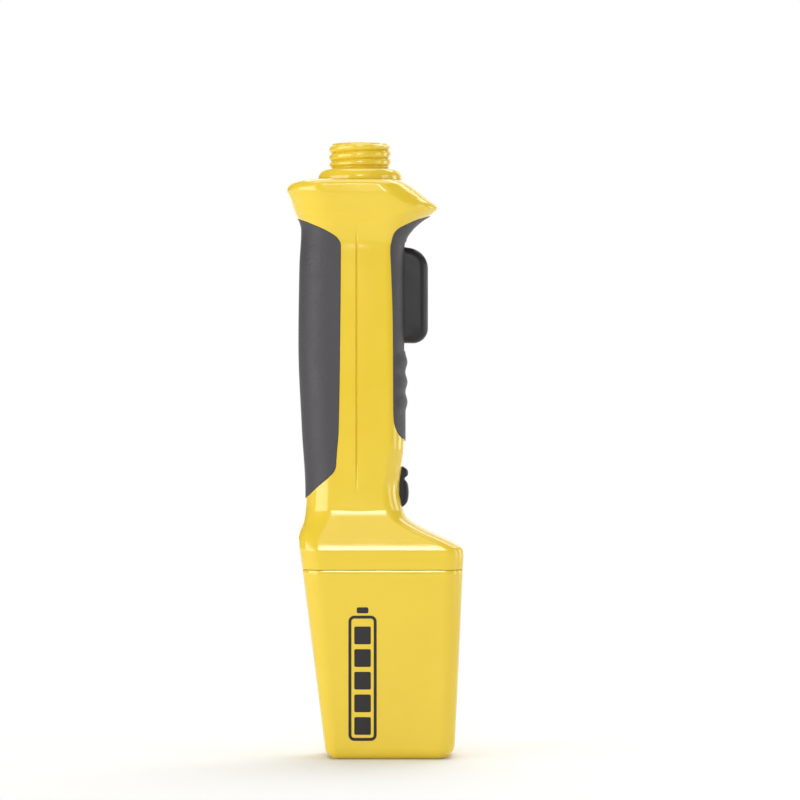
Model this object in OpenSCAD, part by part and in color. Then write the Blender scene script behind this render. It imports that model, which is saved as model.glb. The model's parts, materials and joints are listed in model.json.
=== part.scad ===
// Handle of an electric cattle prod: a yellow moulded housing in two halves with dark soft grips,
// a long trigger, a safety slider, a threaded neck that takes the shaft,
// and a battery pack that pulls off below.
// Millimetres, +Z up along the neck, +X towards the trigger, origin on the base under the neck's axis.

/* [Battery pack] */
// Diameter of one battery cell
cell_d = 26.2; // [22:0.1:26.6]
// Length of one battery cell with its nub
cell_h = 50; // [44:0.5:54]
// Width of the pack at its base
base_w = 64; // [62:0.5:70]
// Thickness of the pack at its base
base_t = 41; // [38:0.5:43]
// Distance from the neck's axis to the middle of the base
base_shift = 15.5; // [14:0.5:17]
// Rounding of the tub's lower edge
base_edge = 6; // [4:0.5:7]
// Wall of the tub
tub_wall = 2.6; // [2:0.1:3.2]
// Floor of the tub
tub_floor = 3; // [2:0.1:4]
// Height of the lid's tongue inside the skirt
tongue_h = 12.8; // [11:0.2:14]
// Wall and top of the lid
lid_wall = 2; // [1.5:0.1:2.2]
// Opening of the charging socket
jack_d = 5.6; // [4.5:0.1:6.4]

/* [Body] */
// Reach of the body from the neck's axis to the palm side
body_palm = 30.5; // [29.5:0.1:33]
// Reach of the body from the neck's axis to the finger side
body_finger = 51.7; // [51:0.1:54]
// Reach of the seam to the palm side
seam_palm = 28.5; // [27.5:0.1:29.5]
// Reach of the seam to the finger side
seam_finger = 51.2; // [50:0.1:51.6]
// Thickness of the body at the seam
body_t = 44; // [43:0.5:48]
// Height of the skirt from the seam to the shoulder's lower crease
skirt_h = 10.5; // [9.5:0.1:13]
// Height of the sloping shoulder
shoulder_h = 18; // [16:0.5:22]
// Wall of the housing
case_wall = 2.6; // [2:0.1:2.8]

/* [Handle] */
// Length of the handle from the shoulder to the flare of the guard
handle_len = 135.5; // [132:0.5:160]
// Thickness of the handle
handle_t = 34; // [33.5:0.5:38]
// Reach of the handle to the palm side above the shoulder
waist_palm = 27; // [26.5:0.1:29]
// Reach of the handle to the finger side above the shoulder
waist_finger = 19.6; // [19.4:0.1:20.4]
// Reach of the handle to the palm side at the hand's middle
grip_palm = 30.5; // [29.5:0.1:33]
// Reach of the handle to the finger side below the trigger
grip_finger = 22.5; // [22:0.1:23.4]
// Reach of the bare strip to the palm side
strip_palm = 10; // [8:0.5:12]
// Reach of the bare strip to the finger side
strip_finger = 16.5; // [15:0.5:17]
// Depth of the soft grips in the housing
grip_depth = 1.6; // [1:0.1:1.8]
// How far the soft grips stand out
grip_proud = 0.3; // [0.1:0.1:0.8]
// Height of the ribs on the finger grips
rib_h = 1; // [0.4:0.1:1.6]
// Distance between the ribs
rib_pitch = 10; // [9:0.5:10]

/* [Guard] */
// Height of the guard from its flare to its top
guard_h = 29.5; // [28:0.5:36]
// Reach of the guard to the palm side
guard_palm = 36.5; // [35.5:0.5:42]
// Reach of the guard to the finger side
guard_finger = 39; // [37:0.5:44]
// Thickness of the guard
guard_t = 49; // [48:0.5:56]
// Thickness of the guard's roof around the neck
guard_roof = 4.5; // [4:0.1:6]

/* [Neck] */
// Diameter over the thread
thread_d = 31; // [30:0.2:34]
// Depth of the thread
thread_depth = 1.3; // [0.8:0.1:1.6]
// Pitch of the thread
thread_pitch = 4; // [3.4:0.1:4]
// Length of the threaded stretch
thread_len = 13; // [13:0.5:18]
// Diameter of the collar
collar_d = 42; // [40:0.5:44]
// Height of the collar
collar_h = 5.5; // [4.5:0.1:8]
// Diameter of the stem inside the guard's roof
stem_d = 30; // [29:0.2:32]
// Diameter of the flange inside the guard
flange_d = 39; // [37:0.5:40]
// Thickness of the flange
flange_t = 3.5; // [2.5:0.1:4]
// Diameter of the socket for the shaft
socket_d = 21; // [20:0.1:22]
// Depth of the socket
socket_depth = 19; // [16:0.5:22]
// Diameter of the insulating plug
plug_d = 16.8; // [15:0.1:18]
// Diameter of a contact stud
stud_d = 3; // [2:0.1:4]
// Distance between the contact studs
stud_gap = 9; // [8:0.1:10]

/* [Trigger] */
// Length of the trigger
trigger_len = 48; // [44:0.5:49]
// How far the trigger stands out of the handle
trigger_reach = 11.5; // [9:0.1:14]
// Width of the trigger
trigger_w = 15; // [13:0.2:16]
// Wall of the trigger's shell
trigger_wall = 2.2; // [1.6:0.1:2.6]
// Diameter of the pivot pin
pin_d = 3; // [2.5:0.1:3.4]
// Wire of the return spring
wire_d = 0.9; // [0.7:0.05:1]
// Outside diameter of the return spring
spring_d = 7; // [6:0.1:8]
// Turns of the return spring
spring_turns = 4; // [3:1:4]
// Diameter of the switch plunger
plunger_d = 2.4; // [1.8:0.1:3]

/* [Safety] */
// Length of the slider
slider_len = 20.5; // [18:0.5:21]
// Width of the slider
slider_w = 11; // [9:0.5:12]
// How far the slider moves
slider_travel = 5; // [4:0.5:6]
// Height of the slider's upper hump over its seat
slider_rise = 5.4; // [4:0.1:7]

/* [Electronics] */
// Height of the circuit board
board_h = 76; // [72:1:80]
// Width of the circuit board
board_w = 20.5; // [19:0.5:21]
// Thickness of the circuit board
board_t = 1.6; // [1:0.1:2]
// Width of the transformer's core
core_w = 18; // [16:0.5:19]
// Height of the transformer's core
core_h = 25; // [20:0.5:26]
// Thickness of the transformer's core
core_t = 8; // [6:0.5:8.5]
// Diameter of a capacitor
cap_d = 9.6; // [8:0.1:9.8]
// Length of a capacitor
cap_h = 13; // [10:0.5:14]
// Width of a contact blade
blade_w = 6.3; // [5:0.1:7]
// Thickness of a contact blade
blade_t = 0.8; // [0.6:0.1:1]
// How far a contact blade reaches into the pack
blade_dip = 9; // [7:0.1:9.5]
// Height of a spring clip
clip_h = 9.6; // [8:0.1:10]
// Diameter of a lead
lead_d = 1.8; // [1.2:0.1:2.2]

/* [Fastening] */
// Diameter of a case screw
screw_d = 2.8; // [2.4:0.1:3]
// Length of a case screw under its head
screw_len = 16; // [14:0.5:18]
// Diameter of a screw head
head_d = 5.8; // [5:0.1:6]

/* [Fits] */
// Gap between pieces that rest in one another
seat_fit = 0.1; // [0.05:0.01:0.15]
// Gap between moving pieces
slide_fit = 0.35; // [0.3:0.01:0.45]
// Gap of the seam between the handle and the battery pack
seam_gap = 0.3; // [0.2:0.05:0.5]

/* [Hidden] */
yellow = [0.85, 0.62, 0.06];
rubber = [0.11, 0.11, 0.12];
black = [0.05, 0.05, 0.055];
steel = [0.6, 0.6, 0.62];
brass = [0.75, 0.6, 0.28];
copper = [0.72, 0.38, 0.2];
ferrite = [0.2, 0.2, 0.21];
green = [0.05, 0.3, 0.15];
foam = [0.25, 0.25, 0.26];
red = [0.65, 0.1, 0.08];
ivory = [0.85, 0.83, 0.75];

// Heights, from the base up
pad_t = 1;
link_t = 0.3;
lid_gap = 0.5;
z_cells = tub_floor + pad_t + link_t;
z_tongue = z_cells + 2 * cell_h + lid_gap + lid_wall;
z_seam = z_tongue - tongue_h;
z_skirt = z_seam + skirt_h;
z_waist = z_skirt + shoulder_h;
z_flare = z_waist + handle_len;
z_guard = z_flare + guard_h;
z_collar = z_guard + collar_h;
z_top = z_collar + thread_len;
z_roof = z_guard - guard_roof;
z_flange = z_roof - flange_t - seat_fit;
grip_wall = case_wall + grip_depth;

// A value between a and b
function mix(a, b, share) = a + (b - a) * share;

// Smooth line through [z, value] points that never swings past them
function piece_of(p, z, i = 0) = (i >= len(p) - 2 || z < p[i + 1][0]) ? i : piece_of(p, z, i + 1);
function chord(p, i) = (p[i + 1][1] - p[i][1]) / (p[i + 1][0] - p[i][0]);
function slope_at(p, i) =
    i == 0 ? chord(p, 0)
    : i == len(p) - 1 ? chord(p, i - 1)
    : chord(p, i - 1) * chord(p, i) <= 0 ? 0
    : 2 * chord(p, i - 1) * chord(p, i) / (chord(p, i - 1) + chord(p, i));
function hermite(a, b, da, db, t) =
    a * (1 + 2 * t) * (1 - t) * (1 - t)
    + b * t * t * (3 - 2 * t)
    + da * t * (1 - t) * (1 - t)
    - db * t * t * (1 - t);
function along(p, z) =
    z <= p[0][0] ? p[0][1]
    : z >= p[len(p) - 1][0] ? p[len(p) - 1][1]
    : let (i = piece_of(p, z), h = p[i + 1][0] - p[i][0])
        hermite(p[i][1], p[i + 1][1], h * slope_at(p, i), h * slope_at(p, i + 1), (z - p[i][0]) / h);
function spread(a, b, n) = [for (i = [1:n]) a + (b - a) * i / n];

// Side view of the housing: palm side, finger side and half thickness, by height
palm_line = [
    [z_seam, -seam_palm],
    [z_skirt + 0.1 * shoulder_h, -mix(seam_palm, body_palm, 0.85)],
    [z_skirt + 0.28 * shoulder_h, -body_palm],
    [z_skirt + 0.47 * shoulder_h, -mix(body_palm, waist_palm, 0.2)],
    [z_skirt + 0.75 * shoulder_h, -mix(body_palm, waist_palm, 0.72)],
    [z_waist + 0.02 * handle_len, -mix(body_palm, waist_palm, 0.95)],
    [z_waist + 0.07 * handle_len, -waist_palm],
    [z_waist + 0.3 * handle_len, -mix(waist_palm, grip_palm, 0.5)],
    [z_waist + 0.62 * handle_len, -grip_palm],
    [z_waist + 0.9 * handle_len, -mix(waist_palm, grip_palm, 0.86)],
    [z_flare + 0.16 * guard_h, -mix(waist_palm, grip_palm, 0.6)],
    [z_flare + 0.29 * guard_h, -mix(grip_palm, guard_palm, -0.1)],
    [z_flare + 0.42 * guard_h, -mix(grip_palm, guard_palm, 0.28)],
    [z_flare + 0.66 * guard_h, -mix(grip_palm, guard_palm, 0.68)],
    [z_flare + 0.84 * guard_h, -guard_palm],
    [z_flare + 0.92 * guard_h, -guard_palm + 1],
    [z_flare + 0.97 * guard_h, -guard_palm + 3.2],
    [z_guard, -guard_palm + 7]
];
finger_line = [
    [z_seam, seam_finger],
    [z_skirt - 0.15 * shoulder_h, body_finger],
    [z_skirt, body_finger - 0.7],
    [z_skirt + 0.06 * shoulder_h, body_finger - 2.4],
    [z_skirt + 0.7 * shoulder_h, mix(waist_finger, body_finger, 0.22)],
    [z_skirt + 0.86 * shoulder_h, mix(waist_finger, body_finger, 0.11)],
    [z_waist + 0.02 * handle_len, mix(waist_finger, body_finger, 0.043)],
    [z_waist + 0.08 * handle_len, waist_finger],
    [z_waist + 0.17 * handle_len, mix(waist_finger, grip_finger, 0.5)],
    [z_waist + 0.26 * handle_len, grip_finger],
    [z_waist + 0.94 * handle_len, grip_finger - 0.2],
    [z_flare, grip_finger + 0.5],
    [z_flare + 0.17 * guard_h, mix(grip_finger, guard_finger, 0.22)],
    [z_flare + 0.32 * guard_h, mix(grip_finger, guard_finger, 0.52)],
    [z_flare + 0.44 * guard_h, mix(grip_finger, guard_finger, 0.85)],
    [z_flare + 0.525 * guard_h, guard_finger],
    [z_flare + 0.58 * guard_h, guard_finger - 1],
    [z_flare + 0.66 * guard_h, guard_finger - 4.3],
    [z_flare + 0.81 * guard_h, guard_finger - 10],
    [z_flare + 0.92 * guard_h, guard_finger - 14.4],
    [z_guard, guard_finger - 18]
];
half_depth = [
    [z_seam, body_t / 2],
    [z_skirt - 0.08 * shoulder_h, body_t / 2],
    [z_skirt + 0.03 * shoulder_h, mix(body_t, handle_t, 0.05) / 2],
    [z_waist - 0.03 * shoulder_h, mix(body_t, handle_t, 0.95) / 2],
    [z_waist + 0.08 * shoulder_h, handle_t / 2],
    [z_flare - 0.1 * guard_h, handle_t / 2],
    [z_flare + 0.2 * guard_h, mix(handle_t, guard_t, 0.2) / 2],
    [z_flare + 0.5 * guard_h, mix(handle_t, guard_t, 0.72) / 2],
    [z_flare + 0.78 * guard_h, guard_t / 2],
    [z_flare + 0.9 * guard_h, guard_t / 2],
    [z_flare + 0.965 * guard_h, guard_t / 2 - 1.2],
    [z_guard, guard_t / 2 - 3.2]
];

// Roundings of the housing's section, along X and along Y, by height
palm_round_x = [[z_skirt, 10], [z_waist, 14], [z_flare, 15], [z_flare + 0.6 * guard_h, 20], [z_guard, 18]];
palm_round_y = [
    [z_skirt, 10],
    [z_waist, 16],
    [z_waist + 6, handle_t / 2],
    [z_flare, handle_t / 2],
    [z_guard, 21]
];
finger_round_x = [[z_skirt, 9], [z_waist, 9], [z_flare, 10], [z_flare + 0.5 * guard_h, 20], [z_guard, 16]];
finger_round_y = [[z_skirt, 9], [z_waist, 13], [z_flare, 13], [z_flare + 0.5 * guard_h, 20], [z_guard, 19]];
crown_line = [[z_waist, 0], [z_waist + 10, 0.4], [z_flare - 6, 0.4], [z_flare + 3, 0]];
crown_x = -1.5;
land = 0.5;

// Side view of the battery pack
tub_palm_line = [[0, base_shift - base_w / 2], [z_seam, -seam_palm]];
tub_finger_line = [
    [0, base_shift + base_w / 2 - 2],
    [base_edge, base_shift + base_w / 2 - 0.4],
    [2 * base_edge, base_shift + base_w / 2],
    [z_seam, seam_finger]
];
tub_depth = [[0, base_t / 2], [z_seam, body_t / 2]];
tub_palm_round = [[0, 6], [z_seam, 10]];
tub_finger_round = [[0, 8], [z_seam, 9]];

// Half of a section on the -Y side, from the palm side round to the finger side
function half_outline(xl, xr, hy, px, py, fx, fy, crown, m) =
    concat(
        [[xl, 0]],
        [for (i = [0:m]) [xl + px * (1 - cos(90 * i / m)), py - hy - py * sin(90 * i / m)]],
        [[crown_x, -hy - crown]],
        [for (i = [0:m]) [xr - fx * (1 - sin(90 * i / m)), fy - hy - fy * cos(90 * i / m)]],
        [[xr, 0]]
    );
function case_half_at(z, o, m) =
    let (hy = along(half_depth, z) + o)
    half_outline(
        along(palm_line, z) - o,
        along(finger_line, z) + o,
        hy,
        max(2, along(palm_round_x, z) + o),
        min(hy - land, max(2, along(palm_round_y, z) + o)),
        max(2, along(finger_round_x, z) + o),
        min(hy - land, max(2, along(finger_round_y, z) + o)),
        along(crown_line, z),
        m
    );
function tub_half_at(z, o, m) =
    let (hy = along(tub_depth, z) + o)
    half_outline(
        along(tub_palm_line, z) - o,
        along(tub_finger_line, z) + o,
        hy,
        max(2, along(tub_palm_round, z) + o),
        max(2, along(tub_palm_round, z) + o),
        max(2, along(tub_finger_round, z) + o),
        max(2, along(tub_finger_round, z) + o),
        0,
        m
    );
// The whole section made of a half and its mirror image
function both_halves(h) = concat(h, [for (i = [len(h) - 2:-1:1]) [h[i][0], -h[i][1]]]);
function raise(ring, z) = [for (p = ring) [p[0], p[1], z]];

// Closed skin over a stack of rings with equal counts, capped at both ends or joined end to end
module skin(rings, loop = false) {
    n = len(rings[0]);
    k = len(rings);
    last = loop ? k - 1 : k - 2;
    caps = loop ? [] : [[for (i = [0:n - 1]) i], [for (i = [n - 1:-1:0]) (k - 1) * n + i]];
    polyhedron(
        points = [for (r = rings) each r],
        faces = concat(
            caps,
            [for (j = [0:last], i = [0:n - 1])
                [j * n + i, ((j + 1) % k) * n + i, ((j + 1) % k) * n + (i + 1) % n]],
            [for (j = [0:last], i = [0:n - 1])
                [j * n + i, ((j + 1) % k) * n + (i + 1) % n, j * n + (i + 1) % n]]
        ),
        convexity = 8
    );
}

// Outline with its corners rounded: [x, y, radius]
function unit(v) = v / norm(v);
function corner(a, b, c, r, n) =
    let (
        u = unit(a - b),
        w = unit(c - b),
        half = acos(u * w) / 2,
        d = r / tan(half),
        p = b + u * d,
        q = b + w * d
    )
    r == 0 ? [b]
    : let (m = b + unit(u + w) * r / sin(half), s = p - m, e = q - m, turn = acos(unit(s) * unit(e)))
        [for (i = [0:n]) m + (s * sin(turn * (1 - i / n)) + e * sin(turn * i / n)) / sin(turn)];
function rounded(v, n = 5) =
    [for (i = [0:len(v) - 1])
        let (a = v[(i + len(v) - 1) % len(v)], b = v[i], c = v[(i + 1) % len(v)])
        each corner([a[0], a[1]], [b[0], b[1]], [c[0], c[1]], b[2], n)];

// Heights at which the housing's section is taken
outer_steps = concat(
    [z_seam, z_seam + 0.5 * skirt_h],
    spread(z_skirt - 0.15 * shoulder_h, z_skirt + 0.16 * shoulder_h, 5),
    spread(z_skirt + 0.16 * shoulder_h, z_waist - 0.14 * shoulder_h, 3),
    spread(z_waist - 0.14 * shoulder_h, z_waist + 0.2 * shoulder_h, 4),
    spread(z_waist + 0.2 * shoulder_h, z_waist + 0.26 * handle_len, 4),
    spread(z_waist + 0.26 * handle_len, z_flare - 0.1 * guard_h, 6),
    spread(z_flare - 0.1 * guard_h, z_flare + 0.44 * guard_h, 6),
    spread(z_flare + 0.44 * guard_h, z_flare + 0.62 * guard_h, 4),
    spread(z_flare + 0.62 * guard_h, z_flare + 0.9 * guard_h, 4),
    spread(z_flare + 0.9 * guard_h, z_guard, 3)
);
inner_steps = concat(
    [z_seam - 2, z_skirt - 0.15 * shoulder_h],
    spread(z_skirt - 0.15 * shoulder_h, z_skirt + 0.35 * shoulder_h, 5),
    spread(z_skirt + 0.35 * shoulder_h, z_waist + 4, 4),
    spread(z_waist + 4, z_waist + 0.26 * handle_len, 3),
    spread(z_waist + 0.26 * handle_len, z_flare, 4),
    spread(z_flare, z_roof, 6)
);
wall_line = [[z_skirt, case_wall], [z_waist, grip_wall], [z_guard, grip_wall]];

module outer_half(o, m = 6) {
    skin([for (z = outer_steps) raise(case_half_at(z, o, m), z)]);
}
module inner_half() {
    skin([for (z = inner_steps)
        raise([for (p = case_half_at(z, -along(wall_line, z), 3)) p[1] == 0 ? [p[0], 1] : p], z)]);
}

// Edges of the soft grips in side view, by height
palm_edge = [
    [z_waist + 6, -waist_palm],
    [z_waist + 10.5, -mix(strip_palm, waist_palm, 0.79)],
    [z_waist + 22, -mix(strip_palm, waist_palm, 0.12)],
    [z_waist + 27, -strip_palm - 0.4],
    [z_waist + 32, -strip_palm],
    [z_flare - 3, -strip_palm],
    [z_flare + 0.5, -strip_palm - 1.3],
    [z_flare + 4, -mix(strip_palm, grip_palm, 0.3)],
    [z_flare + 0.305 * guard_h, -mix(strip_palm, grip_palm, 0.83)],
    [z_flare + 0.37 * guard_h, -grip_palm]
];
finger_edge = [
    [z_waist + 34.5, grip_finger],
    [z_waist + 39.5, mix(strip_finger, grip_finger, 0.45)],
    [z_waist + 45, strip_finger + 0.5],
    [z_waist + 50, strip_finger],
    [z_flare - 1, strip_finger],
    [z_flare + 2, strip_finger + 0.7],
    [z_flare + 4.5, strip_finger + 2.5],
    [z_flare + 0.29 * guard_h, mix(strip_finger, guard_finger, 0.42)],
    [z_flare + 0.425 * guard_h, mix(strip_finger, guard_finger, 0.86)]
];
palm_steps = concat(
    [z_waist + 7],
    spread(z_waist + 7, z_waist + 32, 8),
    spread(z_waist + 32, z_flare - 3, 6),
    spread(z_flare - 3, z_flare + 0.35 * guard_h, 8)
);
z_ribs = z_flare - 3.5 - trigger_len - 9.5;
finger_steps = concat(
    [z_waist + 35.5],
    spread(z_waist + 35.5, z_waist + 45, 5),
    spread(z_waist + 45, z_ribs - 2.25 * rib_pitch, 1),
    spread(z_ribs - 2.25 * rib_pitch, z_ribs + 0.5 * rib_pitch, 11),
    spread(z_ribs + 0.5 * rib_pitch, z_flare - 1, 3),
    spread(z_flare - 1, z_flare + 0.4 * guard_h, 8)
);
function rib(z) =
    abs(z - z_ribs + rib_pitch) > 1.5 * rib_pitch ? 0
    : rib_h * pow(cos(180 * (z - z_ribs) / rib_pitch), 2);

// One row of a grip, out along the surface to the grip's edge
// The first point lies lap past the parting plane
function grip_row(xs, hy, rx, ry, xe, lap, n) =
    concat(
        [[xs, lap]],
        [for (i = [0:n])
            let (x = mix(xs, xe, 1 - cos(90 * i / n)), d = min(1, abs(x - xs) / rx))
            [x, ry - hy - ry * sqrt(max(0, 1 - (1 - d) * (1 - d)))]]
    );
function turned(row) = [for (i = [len(row) - 1:-1:0]) row[i]];
function palm_row(z, o, xe, lap) =
    let (hy = along(half_depth, z) + o, ry = min(hy - land, along(palm_round_y, z) + o))
    grip_row(along(palm_line, z) - o, hy, along(palm_round_x, z) + o, ry, xe, lap, 6);
function finger_row(z, o, xe, lap) =
    let (hy = along(half_depth, z) + o, ry = min(hy - land, along(finger_round_y, z) + o))
    grip_row(along(finger_line, z) + o, hy, along(finger_round_x, z) + o, ry, xe, lap, 6);
function palm_edge_at(z) = max(along(palm_edge, z), along(palm_line, z) + grip_depth + 0.8);
function finger_edge_at(z) = min(along(finger_edge, z), along(finger_line, z) - grip_depth - 0.8);
module palm_grip_half(proud, depth, fit, lap) {
    skin([for (z = palm_steps)
        let (xe = palm_edge_at(z) + fit)
        raise(
            concat(palm_row(z, proud, xe, lap), turned(palm_row(z, -depth, xe, lap))),
            z + fit * sign(z - z_ribs)
        )]);
}
module finger_grip_half(proud, depth, fit, lap) {
    skin([for (z = finger_steps)
        let (xe = finger_edge_at(z) - fit)
        raise(
            concat(turned(finger_row(z, proud + rib(z), xe, lap)), finger_row(z, -depth, xe, lap)),
            z + fit * sign(z - z_ribs)
        )]);
}

// Trigger and switch places
z_trig_top = z_flare - 3.5;
z_trig_bot = z_trig_top - trigger_len;
x_face = grip_finger + trigger_reach;
x_pivot = grip_finger - 8.5;
z_pivot = z_trig_top - 5.5;
x_back = x_pivot + 4.5;
hub_r = 4;
z_nose = z_pivot - 13;
nose_r = 1.5;
x_nose = x_pivot - 2;
x_switch = x_pivot - 4;
z_spring = z_pivot - 35;
x_seat = x_pivot - 6;
x_web = x_back + 1;
pin_len = handle_t - 2 * grip_wall - 3.6;

// Safety places
x_pad = waist_finger - 0.4;
z_slide = z_waist + 2;
z_stem = z_slide + 7;
stem_h = 5;
x_keep = waist_finger - grip_wall - slide_fit;
keep_t = 1.4;
x_safety = x_keep - keep_t - slide_fit;

// Battery places
x_mid = base_shift - 1.2;
x_col = cell_d / 2 + 0.5;
bulk_t = 2.5;
z_bulk = z_tongue + 0.4;
lid_y = along(half_depth, z_tongue) - case_wall - slide_fit;
lid_palm = seam_palm - case_wall - slide_fit;
lid_finger = min(along(finger_line, z_tongue) - case_wall, seam_finger - case_wall) - slide_fit;
z_deck = z_bulk + bulk_t;
block_t = 3.2;
blade_top = 3;
blade_room = 2.4;
y_blade = min(
    lid_y - lid_wall - 2.8,
    along(half_depth, z_deck + block_t + blade_top) - case_wall - blade_room
);
block_y = y_blade + 1.2;
neck_x = blade_w / 2 + 1.35;
jack_r = 3.9;
y_jack = base_t / 2 - tub_wall - 0.4 * base_edge - jack_r - 0.3;

// Board places
z_board = z_nose - 10 - board_h;
x_board = -0.4;
y_board = 6.2;

// Neck places
z_socket = z_top - socket_depth;
disc_r = plug_d / 2 + 3.5;
disc_t = 2.7;
z_disc = z_flange - seat_fit - disc_t;
z_shelf = z_disc - 2.5;

// Case screws: place in side view and the direction of the fin that stiffens the boss
y_head = 7;
head_h = 2.2;
boss_r = 4.6;
screw_spots = [
    [3.5, z_flare - 6, 0, 8],
    [6, z_trig_bot - 16, 0, -8],
    [6, z_waist + 30.5, 0, -8],
    [-27, z_guard - 10.5, -5, 0],
    [25.5, z_guard - 14.5, 6, 0],
    [-19, z_waist - 8, -6, 0],
    [x_mid + neck_x + boss_r + 1.9, z_waist - 10.5, 6, -2]
];

module along_y(x, z, y0, y1, r, n = 16) {
    translate([x, y0, z]) rotate([-90, 0, 0]) cylinder(r = r, h = y1 - y0, $fn = n);
}
module along_x(x0, x1, y, z, r, n = 32) {
    translate([x0, y, z]) rotate([0, 90, 0]) cylinder(r = r, h = x1 - x0, $fn = n);
}
module block(x0, x1, y0, y1, z0, z1) {
    translate([x0, y0, z0]) cube([x1 - x0, y1 - y0, z1 - z0]);
}
module side_plate(outline, w) {
    rotate([90, 0, 0]) linear_extrude(w, center = true) polygon(outline);
}

// What both halves of the housing have inside, on the -Y side
module case_fittings() {
    intersection() {
        outer_half(-1.2, 3);
        union() {
            for (s = screw_spots) {
                along_y(s[0], s[1], -40, 0, boss_r);
                hull() {
                    along_y(s[0], s[1], -40, -8, 0.8, 8);
                    along_y(s[0] + s[2], s[1] + s[3], -40, -8, 0.8, 8);
                }
            }
            along_y(x_pivot, z_pivot, -40, -trigger_w / 2 - slide_fit, hub_r);
            hull() {
                along_y(x_pivot, z_pivot, -40, -trigger_w / 2 - slide_fit, 1, 8);
                along_y(x_pivot + 1, z_pivot + 8, -40, -trigger_w / 2 - slide_fit, 1, 8);
            }
            difference() {
                block(-60, 60, -40, 0, z_bulk, z_deck);
                block(
                    x_mid - neck_x - seat_fit, x_mid + neck_x + seat_fit, -block_y - seat_fit, 1,
                    z_bulk - 1, z_deck + 1
                );
            }
            difference() {
                block(-60, 60, -40, 0, z_shelf, z_flange - seat_fit);
                translate([0, 0, z_shelf - 1]) cylinder(r = plug_d / 2, h = 9, $fn = 32);
                translate([0, 0, z_disc - seat_fit]) cylinder(r = disc_r + seat_fit, h = 9, $fn = 32);
            }
            for (s = [-1, 1])
                translate([s * (flange_d / 2 - 0.75 + seat_fit), -5, z_flange + flange_t / 2])
                    cube([2.5, 10, flange_t + 1], center = true);
        }
    }
}
module case_half() {
    difference() {
        union() {
            difference() {
                outer_half(0);
                inner_half();
            }
            case_fittings();
        }
        palm_grip_half(3, grip_depth, seat_fit, 1);
        finger_grip_half(3, grip_depth, seat_fit, 1);
        translate([0, 0, z_flange]) cylinder(r = stem_d / 2 + seat_fit, h = 60, $fn = 48);
        trigger_window();
        block(
            x_pad, 60, -slider_w / 2 - slide_fit, 1,
            z_slide - 1, z_slide + slider_len + slider_travel + 1
        );
        block(
            x_keep - 3, 60, -2 - slide_fit, 1,
            z_stem - slide_fit, z_stem + stem_h + slider_travel + slide_fit
        );
        along_y(x_pivot, z_pivot, -pin_len / 2 - seat_fit, 1, pin_d / 2 + seat_fit);
    }
}
module trigger_window() {
    w = trigger_w / 2 + slide_fit;
    block(x_pivot - 2, 70, -w, w, z_trig_bot - 4, z_trig_top + 2.5);
}

// Yellow half of the housing towards the label side, with the screw pilots
module label_side_case() color(yellow) {
    difference() {
        case_half();
        for (s = screw_spots)
            along_y(s[0], s[1], y_head - screw_len - 1, 1, screw_d / 2 + seat_fit);
    }
}
// Yellow half of the housing with the screw heads, the board's posts and the switch pegs
module screw_side_case() color(yellow) {
    mirror([0, 1, 0]) {
        difference() {
            case_half();
            for (s = screw_spots) {
                along_y(s[0], s[1], -40, 1, screw_d / 2 + 0.2);
                along_y(s[0], s[1], -60, -y_head, head_d / 2 + 0.3);
            }
        }
        intersection() {
            outer_half(-grip_depth - 1, 3);
            union() {
                along_y(-16, z_board + 5, -40, -y_board - board_t, 2, 16);
                along_y(-4, z_board + 5, -40, -y_board - board_t, 2, 16);
                along_y(-10, z_board + board_h - 5, -40, -y_board - board_t, 2, 16);
                along_y(x_switch - 5, z_nose - 6, -40, -3.3, 2, 16);
                along_y(x_switch - 5, z_nose + 6, -40, -3.3, 2, 16);
                along_y(x_safety - 4, z_slide + 3.5, -40, -3.6, 2, 16);
                along_y(x_safety - 4, z_slide + 18, -40, -3.6, 2, 16);
                block(x_seat - 2, x_seat, -40, -1, z_spring - 5, z_spring + 5);
            }
        }
        along_y(x_switch - 5, z_nose - 6, -5, 2.5, 1.1, 16);
        along_y(x_switch - 5, z_nose + 6, -5, 2.5, 1.1, 16);
        along_y(x_safety - 4, z_slide + 3.5, -5, 2.5, 1.1, 16);
        along_y(x_safety - 4, z_slide + 18, -5, 2.5, 1.1, 16);
        block(x_seat - 2, x_seat, -6, 4.5, z_spring - 5, z_spring + 5);
    }
}
// Soft grip on the palm side of the label half
module label_side_palm_grip() color(rubber) {
    palm_grip_half(grip_proud, grip_depth - seat_fit, 0, 0);
}
// Soft grip on the palm side of the screw half
module screw_side_palm_grip() color(rubber) {
    mirror([0, 1, 0]) palm_grip_half(grip_proud, grip_depth - seat_fit, 0, 0);
}
// Soft ribbed grip on the finger side of the label half
module label_side_finger_grip() color(rubber) {
    difference() {
        finger_grip_half(grip_proud, grip_depth - seat_fit, 0, 0);
        trigger_window();
    }
}
// Soft ribbed grip on the finger side of the screw half
module screw_side_finger_grip() color(rubber) {
    difference() {
        mirror([0, 1, 0]) finger_grip_half(grip_proud, grip_depth - seat_fit, 0, 0);
        trigger_window();
    }
}

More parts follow.
